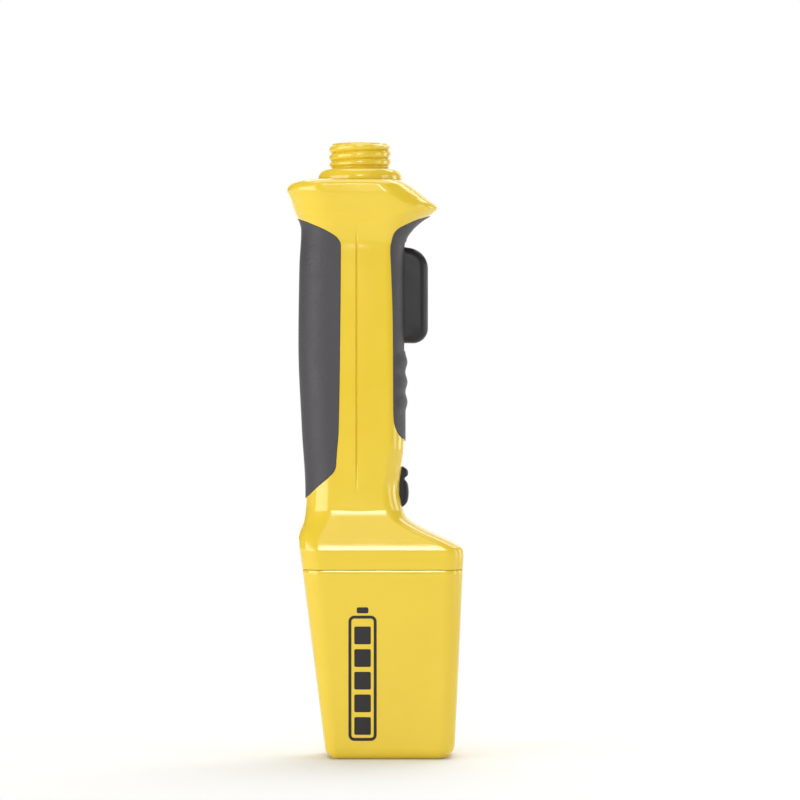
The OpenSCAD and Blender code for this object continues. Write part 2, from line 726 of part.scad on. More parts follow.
// Screw neck with its collar above the guard and its flange inside
thread_first = z_collar + 2.5;
thread_count = floor((thread_len - 4.5) / thread_pitch) + 1;
thread_root = thread_d / 2 - thread_depth;
thread_points = [for (k = [0:thread_count - 1])
    let (z = thread_first + k * thread_pitch)
    each [
        [thread_root, z - 1.5],
        [thread_d / 2, z - 0.6],
        [thread_d / 2, z + 0.6],
        [thread_root, z + 1.5]
    ]];
module threaded_neck() color(yellow) {
    difference() {
        rotate_extrude($fn = 64)
            polygon(concat(
                [[0, z_flange], [flange_d / 2, z_flange], [flange_d / 2, z_flange + flange_t]],
                [[stem_d / 2, z_flange + flange_t], [stem_d / 2, z_guard + seat_fit]],
                [[collar_d / 2, z_guard + seat_fit]],
                [for (a = [0:15:75])
                    [collar_d / 2 - 3.6 * (1 - cos(a)), z_guard + 1.2 + (collar_h - 1.2) * sin(a)]],
                [[thread_root + 1.8, z_collar], [thread_root, z_collar + 0.4]],
                thread_points,
                [[thread_root, z_top - 0.8], [thread_root - 0.8, z_top], [0, z_top]]
            ));
        translate([0, 0, z_socket]) cylinder(d = socket_d, h = socket_depth + 1, $fn = 64);
        translate([0, 0, z_flange - 1]) cylinder(r = plug_d / 2 + seat_fit, h = 40, $fn = 64);
        for (s = [-1, 1])
            translate([s * flange_d / 2, 0, z_flange + flange_t / 2])
                cube([4, flange_d, flange_t + 1], center = true);
    }
}
// Insulating plug that carries the contact studs
module contact_carrier() color(black) {
    difference() {
        union() {
            translate([0, 0, z_disc]) cylinder(r = disc_r, h = disc_t, $fn = 48);
            translate([0, 0, z_disc]) cylinder(d = plug_d, h = z_socket - 2.2 - z_disc, $fn = 48);
        }
        for (s = [-1, 1])
            translate([s * stud_gap / 2, 0, z_disc - 1]) cylinder(r = stud_d / 2 + 0.05, h = 40, $fn = 24);
    }
}
// Two brass studs that meet the shaft's leads
module contact_studs() color(brass) {
    for (s = [-1, 1])
        translate([s * stud_gap / 2, 0, 0])
            rotate_extrude($fn = 24)
                polygon([
                    [0, z_disc - 6],
                    [stud_d / 2, z_disc - 6],
                    [stud_d / 2, z_socket - 2.15],
                    [stud_d / 2 + 0.7, z_socket - 2.15],
                    [stud_d / 2 + 0.7, z_socket - 1],
                    [stud_d / 2 - 0.2, z_socket - 0.3],
                    [0, z_socket - 0.2]
                ]);
}

// Long trigger that turns on the pin near its top
module trigger() color(black) {
    w = trigger_w / 2;
    side = rounded([
        [x_back, z_trig_bot, 0.6],
        [x_back, z_trig_top + 0.6, 0.6],
        [x_face - 6, z_trig_top - 1, 3],
        [x_face, z_trig_top - 6, 4],
        [x_face, z_trig_bot + 4, 4],
        [x_face - 4, z_trig_bot - 0.4, 3]
    ]);
    top = rounded([[x_back - 1, -w, 0], [x_face, -w, 4.5], [x_face, w, 4.5], [x_back - 1, w, 0]]);
    difference() {
        union() {
            intersection() {
                side_plate(side, trigger_w);
                translate([0, 0, z_trig_bot - 5]) linear_extrude(trigger_len + 10) polygon(top);
            }
            along_y(x_pivot, z_pivot, -w, w, hub_r, 32);
            block(x_pivot, x_back + 1, -w, w, z_pivot - hub_r, z_pivot + hub_r);
        }
        block(
            x_back - 1, x_face - trigger_wall, -w + trigger_wall, w - trigger_wall,
            z_trig_bot + trigger_wall, z_pivot - hub_r - 1
        );
        along_y(x_pivot, z_pivot, -w - 1, w + 1, pin_d / 2 + 0.08, 32);
    }
    block(x_nose + nose_r, x_face - 1.2, -2.5, 2.5, z_nose - nose_r, z_nose + nose_r);
    along_y(x_nose + nose_r + 0.05, z_nose, -2.5, 2.5, nose_r, 24);
    block(x_web, x_web + 2, 0.5 - w, w - 0.5, z_spring - 5, z_spring + 5);
    block(x_pivot - 0.5, x_pivot + 3.6, 1.5 - w, w - 1.5, z_trig_bot - 6.5, z_trig_bot + 3);
    block(x_pivot, x_back + 1.5, 1.5 - w, w - 1.5, z_trig_bot + 0.2, z_trig_bot + 3);
}
// Steel pin in the housing's bosses
module trigger_pin() color(steel) {
    along_y(x_pivot, z_pivot, -pin_len / 2, pin_len / 2, pin_d / 2, 32);
}

// Tube along a path of points
function tube_ring(p, t, r, n) =
    let (u = unit(cross(t, [0.12, 1, 0.07])), v = cross(t, u))
    [for (i = [0:n - 1]) p + r * (u * cos(360 * i / n) + v * sin(360 * i / n))];
function heading(path, i) = unit(path[min(i + 1, len(path) - 1)] - path[max(i - 1, 0)]);
module tube(path, d, n = 6) {
    skin([for (i = [0:len(path) - 1]) tube_ring(path[i], heading(path, i), d / 2, n)]);
}
// Smooth path through a few points
function bend(a, b, c, d, t) =
    0.5 * (2 * b + (c - a) * t + (2 * a - 5 * b + 4 * c - d) * t * t + (3 * b - a - 3 * c + d) * t * t * t);
function eased(p, n) =
    concat(
        [for (i = [0:len(p) - 2], k = [0:n - 1])
            bend(p[max(i - 1, 0)], p[i], p[i + 1], p[min(i + 2, len(p) - 1)], k / n)],
        [p[len(p) - 1]]
    );

// Return spring between the housing and the trigger
spring_x0 = x_seat + wire_d / 2 + 0.05;
spring_x1 = x_web - wire_d / 2 - 0.05;
spring_rise = (spring_x1 - spring_x0) / spring_turns;
spring_r = (spring_d - wire_d) / 2;
spring_gap = spring_rise - wire_d;
module trigger_spring() color(steel) {
    n = 8 * spring_turns;
    skin([for (i = [n:-1:0])
        let (
            a = 45 * i,
            c = [spring_x0 + spring_rise * i / 8, spring_r * cos(a), z_spring + spring_r * sin(a)],
            out = [0, cos(a), sin(a)],
            side = unit([spring_r * PI / 4, spring_rise / 8 * sin(a), -spring_rise / 8 * cos(a)])
        )
        [for (k = [0:5]) c + wire_d / 2 * (out * cos(60 * k) + side * sin(60 * k))]]);
}
echo(least_spring_gap = spring_gap);

// Power switch behind the trigger, on two pegs
module microswitch() color(black) {
    difference() {
        block(x_switch - 10, x_switch, -3.2, 3.2, z_nose - 10, z_nose + 10);
        for (s = [-6, 6])
            along_y(x_switch - 5, z_nose + s, -5, 5, 1.2, 24);
        along_x(x_switch - 4.5, x_switch + 1, 0, z_nose, plunger_d / 2 + slide_fit);
    }
    for (s = [-7, 0, 7])
        block(x_switch - 13, x_switch - 10, -1.6, 1.6, z_nose + s - 0.25, z_nose + s + 0.25);
}
// Plunger that the trigger's nose pushes
module switch_plunger() color(ivory) {
    along_x(x_switch - 2.6, x_nose, 0, z_nose, plunger_d / 2);
}

// Thumb slider, held between the halves
module safety_slider() color(black) {
    x0 = x_pad + slide_fit;
    side = rounded([
        [x0, z_slide, 0.3],
        [x0, z_slide + slider_len, 0.3],
        [x0 + 1.6, z_slide + slider_len, 0.8],
        [x_pad + slider_rise - 0.6, z_slide + slider_len - 1.8, 1],
        [x_pad + slider_rise - 0.4, z_slide + slider_len - 4.6, 1],
        [x0 + 2.4, z_slide + slider_len - 6.2, 0.9],
        [x_pad + slider_rise - 0.6, z_slide + slider_len - 8.4, 1.2],
        [x_pad + slider_rise, z_slide + 6.5, 4],
        [x_pad + slider_rise - 0.8, z_slide + 2, 1.4],
        [x0 + 1.6, z_slide, 0.8]
    ], 3);
    top = rounded([
        [x0 - 1, -slider_w / 2, 0],
        [x_pad + slider_rise + 1, -slider_w / 2, 2.5],
        [x_pad + slider_rise + 1, slider_w / 2, 2.5],
        [x0 - 1, slider_w / 2, 0]
    ], 4);
    intersection() {
        side_plate(side, slider_w);
        translate([0, 0, z_slide - 1]) linear_extrude(slider_len + 2) polygon(top);
    }
    block(x_keep - keep_t, x0 + 0.5, -2, 2, z_stem, z_stem + stem_h);
    block(x_keep - keep_t, x_keep, -3.8, 3.8, z_stem - 1.5, z_stem + stem_h + 1.5);
    block(x_safety - 2, x_keep - 0.5, -1.2, 1.2, z_stem + 1, z_stem + 4);
}
// Switch body behind the slider, on two pegs
module safety_switch() color(black) {
    difference() {
        block(x_safety - 7.5, x_safety, -3.5, 3.5, z_slide + 0.5, z_slide + 21);
        block(x_safety - 2.5, x_safety + 1, -1.6, 1.6, z_stem + 0.5, z_stem + 4.5 + slider_travel);
        along_y(x_safety - 4, z_slide + 3.5, -5, 5, 1.2, 24);
        along_y(x_safety - 4, z_slide + 18, -5, 5, 1.2, 24);
    }
    for (s = [6, 11, 16])
        block(x_safety - 10, x_safety - 7.5, -1.2, 1.2, z_slide + s - 0.3, z_slide + s + 0.3);
}

// Circuit board on its three posts
module circuit_board() color(green) {
    block(x_board - board_w, x_board, y_board + 0.05, y_board + board_t - 0.05, z_board, z_board + board_h);
}
// Ferrite core of the step-up transformer
x_core = x_board - board_w / 2;
y_core = y_board - core_t - 0.2;
z_core = z_board + board_h - 2 - core_h / 2;
module transformer_core() color(ferrite) {
    difference() {
        block(x_core - core_w / 2, x_core + core_w / 2, y_core - core_t / 2, y_core + core_t / 2,
            z_core - core_h / 2, z_core + core_h / 2);
        for (s = [-1, 1])
            translate([x_core + s * core_w * 0.26, y_core, z_core])
                cube([core_w * 0.24, core_t + 1, core_h * 0.64], center = true);
    }
}
// Winding on the transformer's middle leg
module transformer_coil() color(copper) {
    side = rounded([
        [-core_w * 0.36, -core_t, 3],
        [core_w * 0.36, -core_t, 3],
        [core_w * 0.36, core_t, 3],
        [-core_w * 0.36, core_t, 3]
    ]);
    difference() {
        translate([x_core, y_core, z_core])
            linear_extrude(core_h * 0.62, center = true) polygon(side);
        translate([x_core, y_core, z_core])
            cube([core_w * 0.28 + 2 * seat_fit, core_t + 2 * seat_fit, core_h], center = true);
    }
}
// Two storage capacitors, midway between the transistor's tab and the transformer
z_tab = z_board + 23.5;
z_caps = mix(z_tab, z_core - core_h / 2, 0.5);
module capacitors() color([0.12, 0.14, 0.3]) {
    for (x = [x_board - board_w * 0.26, x_board - board_w * 0.76])
        difference() {
            along_y(x, z_caps, y_board - cap_h, y_board, cap_d / 2, 32);
            translate([x, y_board - cap_h, z_caps]) rotate([90, 0, 0])
                cylinder(d = cap_d * 0.75, h = 0.6, center = true, $fn = 32);
        }
}
// Switching transistor on its metal tab
module power_transistor() color(black) {
    x0 = x_core - 5;
    block(x0, x0 + 10, y_board - 4.4, y_board, z_board + 8, z_board + 17);
    difference() {
        block(x0, x0 + 10, y_board - 1.3, y_board, z_board + 17, z_tab);
        along_y(x_core, z_board + 20.4, y_board - 3, y_board + 1, 1.8, 24);
    }
}
// Insulating block in the bulkhead, with slots for the blades
module contact_block() color(black) {
    difference() {
        union() {
            block(x_mid - neck_x, x_mid + neck_x, -block_y, block_y, z_bulk + seat_fit, z_deck + 1);
            block(
                x_mid - neck_x - 1.5, x_mid + neck_x + 1.5, -block_y, block_y,
                z_deck + seat_fit, z_deck + block_t
            );
        }
        for (s = [-1, 1])
            translate([x_mid, s * y_blade, z_bulk])
                cube([blade_w + 2 * seat_fit, blade_t + 2 * seat_fit, 40], center = true);
    }
}
// Two brass blades that enter the pack's clips
module contact_blades() color(brass) {
    for (s = [-1, 1])
        block(
            x_mid - blade_w / 2, x_mid + blade_w / 2, s * y_blade - blade_t / 2, s * y_blade + blade_t / 2,
            z_tongue - blade_dip, z_deck + block_t + blade_top
        );
}
// Screws that hold the two halves together
module case_screws() color(steel) {
    for (s = screw_spots) {
        along_y(s[0], s[1], y_head - screw_len, y_head + 1, screw_d / 2);
        difference() {
            along_y(s[0], s[1], y_head, y_head + head_h, head_d / 2);
            along_y(s[0], s[1], y_head + 1, y_head + head_h + 1, head_d / 5, 6);
        }
    }
}
// Leads from the winding to the contact studs
module hv_leads() color(red) {
    z0 = z_core + core_h * 0.31 + 0.2;
    z1 = z_disc - 6 - 0.5;
    for (s = [-1, 1])
        tube(eased([
            [x_core + s * 4, y_core - 6, z0],
            [x_core + s * 4, y_core - 6, z0 + 6],
            [x_core + s * 4.5 + 1, y_core - 5, mix(z0, z1, 0.55)],
            [s * stud_gap / 2, -1, z1 - 5],
            [s * stud_gap / 2, 0, z1]
        ], 3), lead_d);
}
// Leads from the blades to the board
module battery_leads() color(red) {
    z0 = z_deck + block_t + 2 * blade_top;
    z1 = z_board + 4;
    for (s = [-1, 1])
        tube(eased([
            [x_mid, s * (y_blade - 0.6 * blade_t - lead_d / 2), z_deck + block_t + 1.6],
            [x_mid - 3, s * (y_blade - 4), z0],
            [2, s * 6, mix(z0, z1, 0.27)],
            [-8, s * 3.5 + 1, mix(z0, z1, 0.64)],
            [x_core + s * 5, y_board - 1, z1]
        ], 3), lead_d);
}
// Leads from the power switch to the board
module switch_leads() color(red) {
    for (s = [-1, 1])
        tube(eased([
            [x_switch - 13 + 0.9, s * (1.7 + lead_d / 2), z_nose + 7 * s],
            [x_switch - 15, s * 3, z_nose + 5 * s + 2],
            [x_core + 5 + 2 * s, y_board + s, z_board + board_h + 7],
            [x_core + 5 + 2 * s, y_board + board_t / 2, z_board + board_h + 1]
        ], 3), lead_d);
}

// Yellow tub of the battery pack, open at the top and, inside its lower rim, at the bottom
lip_t = 1.4;
lip_w = 1.5;
tub_outer = [for (a = [0:18:90]) [base_edge * (1 - cos(a)), -base_edge * (1 - sin(a))]];
tub_inner = [
    [z_seam - seam_gap, -tub_wall],
    [base_edge, -tub_wall],
    [lip_t, -tub_wall - 0.6 * base_edge],
    [lip_t, -base_edge - lip_w],
    [0, -base_edge - lip_w]
];
module pack_tub() color(yellow) {
    skin(concat(
        [for (s = tub_outer) raise(both_halves(tub_half_at(s[0], s[1], 6)), s[0])],
        [for (z = [2 * base_edge, z_seam / 2, z_seam - seam_gap])
            raise(both_halves(tub_half_at(z, 0, 6)), z)],
        [for (s = tub_inner) raise(both_halves(tub_half_at(s[0], s[1], 6)), s[0])]
    ), loop = true);
}
// Floor plate of the pack, seated on the tub's lower rim, with the charging hole
module pack_base() color(yellow) {
    foot = both_halves(tub_half_at(0, -base_edge - lip_w - seat_fit, 6));
    step = both_halves(tub_half_at(lip_t, -tub_wall - 0.6 * base_edge - seat_fit, 6));
    difference() {
        union() {
            linear_extrude(tub_floor) polygon(foot);
            translate([0, 0, lip_t + seat_fit]) linear_extrude(tub_floor - lip_t - seat_fit) polygon(step);
        }
        translate([x_mid, y_jack, -1]) cylinder(d = jack_d, h = tub_floor + 2, $fn = 48);
    }
}
// Lid in the tub's mouth with the tongue that enters the skirt
module pack_lid() color(black) {
    z0 = z_seam - seam_gap - lid_wall;
    rim = both_halves(tub_half_at(z0, -tub_wall - seat_fit, 4));
    tongue = both_halves(half_outline(-lid_palm, lid_finger, lid_y, 7, 7, 7, 7, 0, 4));
    bay = both_halves(half_outline(
        lid_wall - lid_palm, lid_finger - lid_wall, lid_y - lid_wall, 5, 5, 5, 5, 0, 4
    ));
    difference() {
        union() {
            translate([0, 0, z0]) linear_extrude(lid_wall) polygon(rim);
            translate([0, 0, z0]) linear_extrude(z_tongue - z0) polygon(tongue);
        }
        translate([0, 0, z0 - 1]) linear_extrude(z_tongue - lid_wall - z0 + 1) polygon(bay);
        for (s = [-1, 1])
            translate([x_mid, s * y_blade, z_tongue])
                cube([blade_w + 1.2, blade_t + 1, 4 * lid_wall], center = true);
    }
}
// Four cells, two by two
module battery_cells() color([0.2, 0.35, 0.2]) {
    for (s = [-1, 1], k = [0, 1])
        translate([x_mid + s * x_col, 0, z_cells + k * cell_h]) {
            translate([0, 0, 0.02]) cylinder(d = cell_d, h = cell_h - 1.6, $fn = 48);
            translate([0, 0, 1]) cylinder(d = 7, h = cell_h - 1, $fn = 32);
        }
}
// Foam pad under the cells
module base_pad() color(foam) {
    x_pad_end = x_col + cell_d / 3;
    y_pad_end = cell_d / 4;
    room = both_halves(tub_half_at(tub_floor, -tub_wall - 0.6 * base_edge - seat_fit, 6));
    intersection() {
        block(x_mid - x_pad_end, x_mid + x_pad_end, -y_pad_end, y_pad_end, tub_floor, tub_floor + pad_t);
        linear_extrude(2 * (tub_floor + pad_t)) polygon(room);
    }
}
// Nickel strips that join the cells and feed the clips
module cell_links() color(steel) {
    block(x_mid - x_col - 5, x_mid + x_col + 5, -4, 4, tub_floor + pad_t, z_cells);
    for (s = [-1, 1])
        translate([0, 0, z_cells + 2 * cell_h + 0.05]) linear_extrude(link_t) union() {
            translate([x_mid + s * x_col / 2, 0]) square([x_col + 6, 4], center = true);
            translate([x_mid, s * (y_blade - 1.2) / 2]) square([6, y_blade - 1.2], center = true);
        }
}
// Spring clips that grip the blades
leaf_t = 0.5;
module pack_clips() color(brass) {
    z0 = z_tongue - lid_wall - clip_h - 0.9;
    for (s = [-1, 1])
        translate([x_mid, s * y_blade, 0]) {
            for (q = [-1, 1])
                translate([-blade_w / 2, q * (blade_t / 2 + 0.05 + leaf_t / 2) - leaf_t / 2, z0])
                    cube([blade_w, leaf_t, clip_h]);
            translate([-blade_w / 2, -blade_t / 2 - 0.05 - leaf_t, z0])
                cube([blade_w, blade_t + 0.1 + 2 * leaf_t, leaf_t]);
        }
}
// Charging socket in the floor
module charge_jack() color(black) {
    translate([x_mid, y_jack, tub_floor]) {
        difference() {
            cylinder(r = jack_r, h = 11, $fn = 48);
            translate([0, 0, -1]) cylinder(d = jack_d, h = 10, $fn = 48);
        }
        cylinder(d = 2, h = 10, $fn = 24);
    }
}

label_side_case();
screw_side_case();
label_side_palm_grip();
screw_side_palm_grip();
label_side_finger_grip();
screw_side_finger_grip();
threaded_neck();
contact_carrier();
contact_studs();
trigger();
trigger_pin();
trigger_spring();
microswitch();
switch_plunger();
safety_slider();
safety_switch();
circuit_board();
transformer_core();
transformer_coil();
capacitors();
power_transistor();
contact_block();
contact_blades();
case_screws();
hv_leads();
battery_leads();
switch_leads();
pack_tub();
pack_base();
pack_lid();
battery_cells();
base_pad();
cell_links();
pack_clips();
charge_jack();
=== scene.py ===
# %% [markdown]
# # Handle of an electric cattle prod
# A yellow moulded housing in two halves, dark soft grips, a long trigger, a safety slider, a threaded
# neck for the shaft and a battery pack that pulls off below. The measured solids are loaded first.
# They carry the sizes and the joints. The pieces that show get finer surfaces worked out with numpy,
# in millimetres, and Blender gets them in metres.

# %% Load the measured model
import json
import math
import bmesh
import bpy
import numpy as np
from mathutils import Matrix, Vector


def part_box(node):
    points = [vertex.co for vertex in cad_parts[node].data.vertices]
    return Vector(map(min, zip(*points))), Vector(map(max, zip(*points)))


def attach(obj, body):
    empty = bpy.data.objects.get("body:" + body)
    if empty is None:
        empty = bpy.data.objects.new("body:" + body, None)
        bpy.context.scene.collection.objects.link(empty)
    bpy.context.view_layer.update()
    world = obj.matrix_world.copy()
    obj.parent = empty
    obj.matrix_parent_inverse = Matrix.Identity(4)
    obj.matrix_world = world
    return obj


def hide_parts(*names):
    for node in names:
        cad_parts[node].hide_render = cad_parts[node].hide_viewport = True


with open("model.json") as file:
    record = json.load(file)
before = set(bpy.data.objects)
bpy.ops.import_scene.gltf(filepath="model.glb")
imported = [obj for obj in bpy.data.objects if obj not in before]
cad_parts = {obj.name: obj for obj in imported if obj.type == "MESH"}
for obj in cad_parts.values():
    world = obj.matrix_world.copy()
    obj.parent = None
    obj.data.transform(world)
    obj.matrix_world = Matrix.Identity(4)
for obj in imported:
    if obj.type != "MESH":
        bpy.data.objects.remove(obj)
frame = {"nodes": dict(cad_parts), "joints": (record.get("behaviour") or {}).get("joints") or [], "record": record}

nodes = frame["nodes"]
joints = {joint["name"]: joint for joint in frame["joints"]}
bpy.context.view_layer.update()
mm = 0.001


def box_mm(node):
    """Lowest and highest corner of a solid in millimetres, to the nearest thousandth."""
    return np.round(np.array(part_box(node), float) / mm, 3)


# %% [markdown]
# ## The camera
# The photograph looks square on to the label side. One of its pixels is half a millimetre, and its
# middle lies 20 mm to the finger side and 178 mm up. A long lens from 1.8 m gives the same flat look.

# %% Camera
photo_width = 800
pixel = 0.5 * mm
camera_distance = 1.8
view_x = 0.020
view_z = 0.178
camera_data = bpy.data.cameras.new("camera")
camera_data.sensor_width = 36.0
camera_data.lens = camera_data.sensor_width * camera_distance / (photo_width * pixel)
camera = bpy.data.objects.new("camera", camera_data)
camera.location = (view_x, -camera_distance, view_z)
camera.rotation_euler = (math.radians(90), 0, 0)
bpy.context.scene.collection.objects.link(camera)
bpy.context.scene.camera = camera
print("lens in mm:", round(camera_data.lens, 1))

# %% [markdown]
# ## Turning grids into meshes
# Every new piece is one or more sheets: arrays of points with rows and columns. Neighbouring points
# make four-sided faces. Sheets that share an edge are welded, and edges sharper than an angle stay
# crisp while the rest is shaded smooth. Working in whole arrays keeps the lesson short and quick.

# %% Sheets to mesh
weld = 0.002 * mm
sliver = 0.0001 * mm


def stack(x, y, z):
    """Three arrays that stretch to one shape become points."""
    return np.stack(np.broadcast_arrays(x, y, z), -1).astype(float)


def grid_faces(rows, columns, flip=False):
    """Corner numbers of a grid's faces: each goes round one cell, the other way if flipped."""
    corner = np.arange(rows * columns).reshape(rows, columns)
    loop = [corner[:-1, :-1], corner[:-1, 1:], corner[1:, 1:], corner[1:, :-1]]
    return np.stack(loop[::-1] if flip else loop, -1)


def mesh_of(name, sheets, sharp):
    """Joins sheets of (points in mm, flip, cells to keep) into one welded mesh, shaded smooth."""
    points = np.concatenate([sheet.reshape(-1, 3) for sheet, flip, keep in sheets]) * mm
    faces = []
    start = 0
    for sheet, flip, keep in sheets:
        corners = grid_faces(*sheet.shape[:2], flip)
        faces.append(start + (corners.reshape(-1, 4) if keep is None else corners[keep]))
        start += sheet.shape[0] * sheet.shape[1]
    used, faces = np.unique(np.concatenate(faces), return_inverse=True)
    faces = faces.reshape(-1, 4).astype(np.int32)
    mesh = bpy.data.meshes.new(name)
    mesh.vertices.add(len(used))
    mesh.vertices.foreach_set("co", points[used].ravel())
    mesh.loops.add(faces.size)
    mesh.loops.foreach_set("vertex_index", faces.ravel())
    mesh.polygons.add(len(faces))
    mesh.polygons.foreach_set("loop_start", np.arange(0, faces.size, 4, dtype=np.int32))
    mesh.update(calc_edges=True)
    work = bmesh.new()
    work.from_mesh(mesh)
    bmesh.ops.remove_doubles(work, verts=work.verts[:], dist=weld)
    bmesh.ops.dissolve_degenerate(work, edges=work.edges[:], dist=sliver)
    work.to_mesh(mesh)
    work.free()
    mesh.shade_smooth()
    mesh.set_sharp_from_angle(angle=math.radians(sharp))
    return mesh


print("weld in mm:", weld / mm)

# %% [markdown]
# ## From mesh to piece
# A piece rides on one of the model's bodies, so that it moves with the joints. It stands for a solid,
# which is then hidden, and takes a finish. Mouldings are thin walls, so the housing and the grips are
# drawn as one skin, and a Solidify modifier gives it a wall to the inside. That closes the shell.

# %% Mesh to piece
def crease_open_edges(mesh):
    """Marks the edges that only one face uses as sharp, so that a wall's rim keeps its own shading."""
    used = np.empty(len(mesh.loops), np.int32)
    mesh.loops.foreach_get("edge_index", used)
    crisp = np.empty(len(mesh.edges), bool)
    mesh.edges.foreach_get("use_edge_sharp", crisp)
    crisp |= np.bincount(used, minlength=len(crisp)) == 1
    mesh.edges.foreach_set("use_edge_sharp", crisp)


def make_piece(name, sheets, finish, body, stands_for=(), sharp=38.0, wall=0.0):
    """Makes sheets an object with a finish that rides on a body, with a wall where one is given."""
    mesh = mesh_of(name, sheets, sharp)
    mesh.materials.append(finish)
    piece = bpy.data.objects.new(name, mesh)
    bpy.context.scene.collection.objects.link(piece)
    if wall:
        crease_open_edges(mesh)
        thicken = piece.modifiers.new("wall", "SOLIDIFY")
        thicken.thickness = wall * mm
        thicken.offset = -1.0
    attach(piece, body)
    if stands_for:
        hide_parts(*stands_for)
    print(name, "faces:", len(mesh.polygons))


def mirrored(sheets):
    """The same sheets on the other side of the parting plane, turned so that they still face outwards."""
    return [(sheet * [1, -1, 1], not flip, keep) for sheet, flip, keep in sheets]


# %% [markdown]
# ## Finishes
# A finish starts from the real stuff and how it was made. Colours are written as the eye reads them
# on a screen, so one function turns them into the linear values that light needs. Patterns are placed
# in object coordinates, in metres, so a grain of one millimetre has a scale of a thousand.

# %% Helpers for finishes
def linear(code):
    """A screen colour such as ecce46 in linear light: each channel through the sRGB curve."""
    value = np.array([int(code[i:i + 2], 16) for i in (0, 2, 4)]) / 255
    light = np.where(value <= 0.04045, value / 12.92, ((value + 0.055) / 1.055) ** 2.4)
    return (*light.tolist(), 1.0)


def add(tree, kind, inputs=None, **settings):
    """Adds a node: settings are its own properties, inputs are values or other nodes' outputs."""
    made = tree.nodes.new(kind)
    for key, value in settings.items():
        setattr(made, key, value)
    for key, value in (inputs or {}).items():
        if isinstance(value, bpy.types.NodeSocket):
            tree.links.new(value, made.inputs[key])
        else:
            made.inputs[key].default_value = value
    return made


def new_finish(name, tones, drift_mm, rough, grain_mm, grain_depth_mm, metal=0.0, ior=1.5, grain="noise"):
    """A finish whose colour and gloss drift between two ends, with a fine grain in its surface."""
    finish = bpy.data.materials.new(name)
    finish.use_nodes = True
    tree = finish.node_tree
    tree.nodes.clear()
    place = add(tree, "ShaderNodeTexCoord").outputs["Object"]
    drift = add(tree, "ShaderNodeTexNoise", {"Vector": place, "Scale": 1000 / drift_mm, "Detail": 3.0})
    colour = add(tree, "ShaderNodeMix", {
        0: drift.outputs["Fac"], 6: linear(tones[0]), 7: linear(tones[1])}, data_type="RGBA")
    gloss = add(tree, "ShaderNodeMapRange", {
        "Value": drift.outputs["Fac"], "From Min": 0.3, "From Max": 0.7,
        "To Min": rough[0], "To Max": rough[1]})
    if grain == "noise":
        relief = add(tree, "ShaderNodeTexNoise", {"Vector": place, "Scale": 1000 / grain_mm, "Detail": 2.0})
        height = relief.outputs["Fac"]
    else:
        relief = add(tree, "ShaderNodeTexVoronoi", {"Vector": place, "Scale": 1000 / grain_mm})
        height = relief.outputs["Distance"]
    bump = add(tree, "ShaderNodeBump", {"Height": height, "Distance": grain_depth_mm * mm, "Strength": 1.0})
    shader = add(tree, "ShaderNodeBsdfPrincipled", {
        "Base Color": colour.outputs[2], "Roughness": gloss.outputs["Result"],
        "Normal": bump.outputs["Normal"], "Metallic": metal})
    if not metal:
        shader.inputs["IOR"].default_value = ior
    add(tree, "ShaderNodeOutputMaterial", {"Surface": shader.outputs["BSDF"]})
    return finish


print("half grey on a screen, in linear light:", round(linear("808080")[0], 3))

# %% [markdown]
# ## Plastic, rubber and ink
# The housing is moulded ABS from a polished mould: a warm yellow with sharp soft-box reflections,
# broken a little by the faint waviness that cooling plastic keeps. The grips are a thermoplastic
# rubber moulded over it, with an eroded grain that spreads the light. Trigger and slider are nylon.

# %% Outside finishes
# Polished ABS: clear yellow, glossy, with a waviness of about two millimetres
abs_yellow = new_finish("moulded_abs_yellow", ("e1c133", "e6c73b"), 22, (0.13, 0.19), 2.2, 0.003, ior=1.53)
# Soft overmould: dark warm grey, dull, with an eroded grain drawn at 1.5 mm so that it shows
tpe_grey = new_finish(
    "overmoulded_tpe_grey", ("3c3a3d", "454346"), 9, (0.48, 0.60), 1.5, 0.12, ior=1.45, grain="cells")
# Glass-filled nylon: near black, satin, with a fine spark-eroded texture
nylon_black = new_finish("moulded_nylon_black", ("1b1a1d", "232224"), 6, (0.34, 0.44), 0.55, 0.012, ior=1.4)
# Printing ink: flat black that lies in a thin film on the plastic
ink_black = new_finish("screen_ink_black", ("0f0e0c", "161411"), 4, (0.36, 0.46), 0.5, 0.004)
print("finishes:", [finish.name for finish in (abs_yellow, tpe_grey, nylon_black, ink_black)])

# %% [markdown]
# ## Smooth lines
# In side view the housing is two lines, one on the palm side and one on the finger side, and a third
# line gives its half thickness. Each is a smooth curve through a few heights. A cubic whose slope at
# each point is the harmonic mean of its neighbours never swings past them, so a flat stays flat and a
# crease stays a crease, which a plain spline would not give.

# %% Smooth lines
def line(*points):
    """A curve of height: cubic pieces through the points with harmonic mean slopes, level past both ends."""
    height, value = np.array(points, float).T
    step = np.diff(height)
    chord = np.diff(value) / step
    product = chord[:-1] * chord[1:]
    total = np.where(product > 0, chord[:-1] + chord[1:], 1.0)
    slope = np.concatenate([chord[:1], np.where(product > 0, 2 * product / total, 0.0), chord[-1:]])

    def at(z):
        """Value at a height: the four terms of a cubic between two points with known slopes."""
        z = np.clip(z, height[0], height[-1])
        i = np.clip(np.searchsorted(height, z, side="right") - 1, 0, len(step) - 1)
        h = step[i]
        t = (z - height[i]) / h
        s = 1 - t
        return (value[i] * (1 + 2 * t) * s * s + value[i + 1] * t * t * (3 - 2 * t)
                + h * slope[i] * t * s * s - h * slope[i + 1] * t * t * s)

    return at


print("halfway up a line from 0 to 2:", float(line((0, 0), (1, 2))(0.5)))

# %% [markdown]
# ## Heights and reaches of the housing
# From the seam up come the skirt, the sloping shoulder, the handle and the flared guard. Reaches are
# read from the neck's axis to the palm side and to the finger side. These sizes shaped the solids
# too, so the finer skin follows the solids.

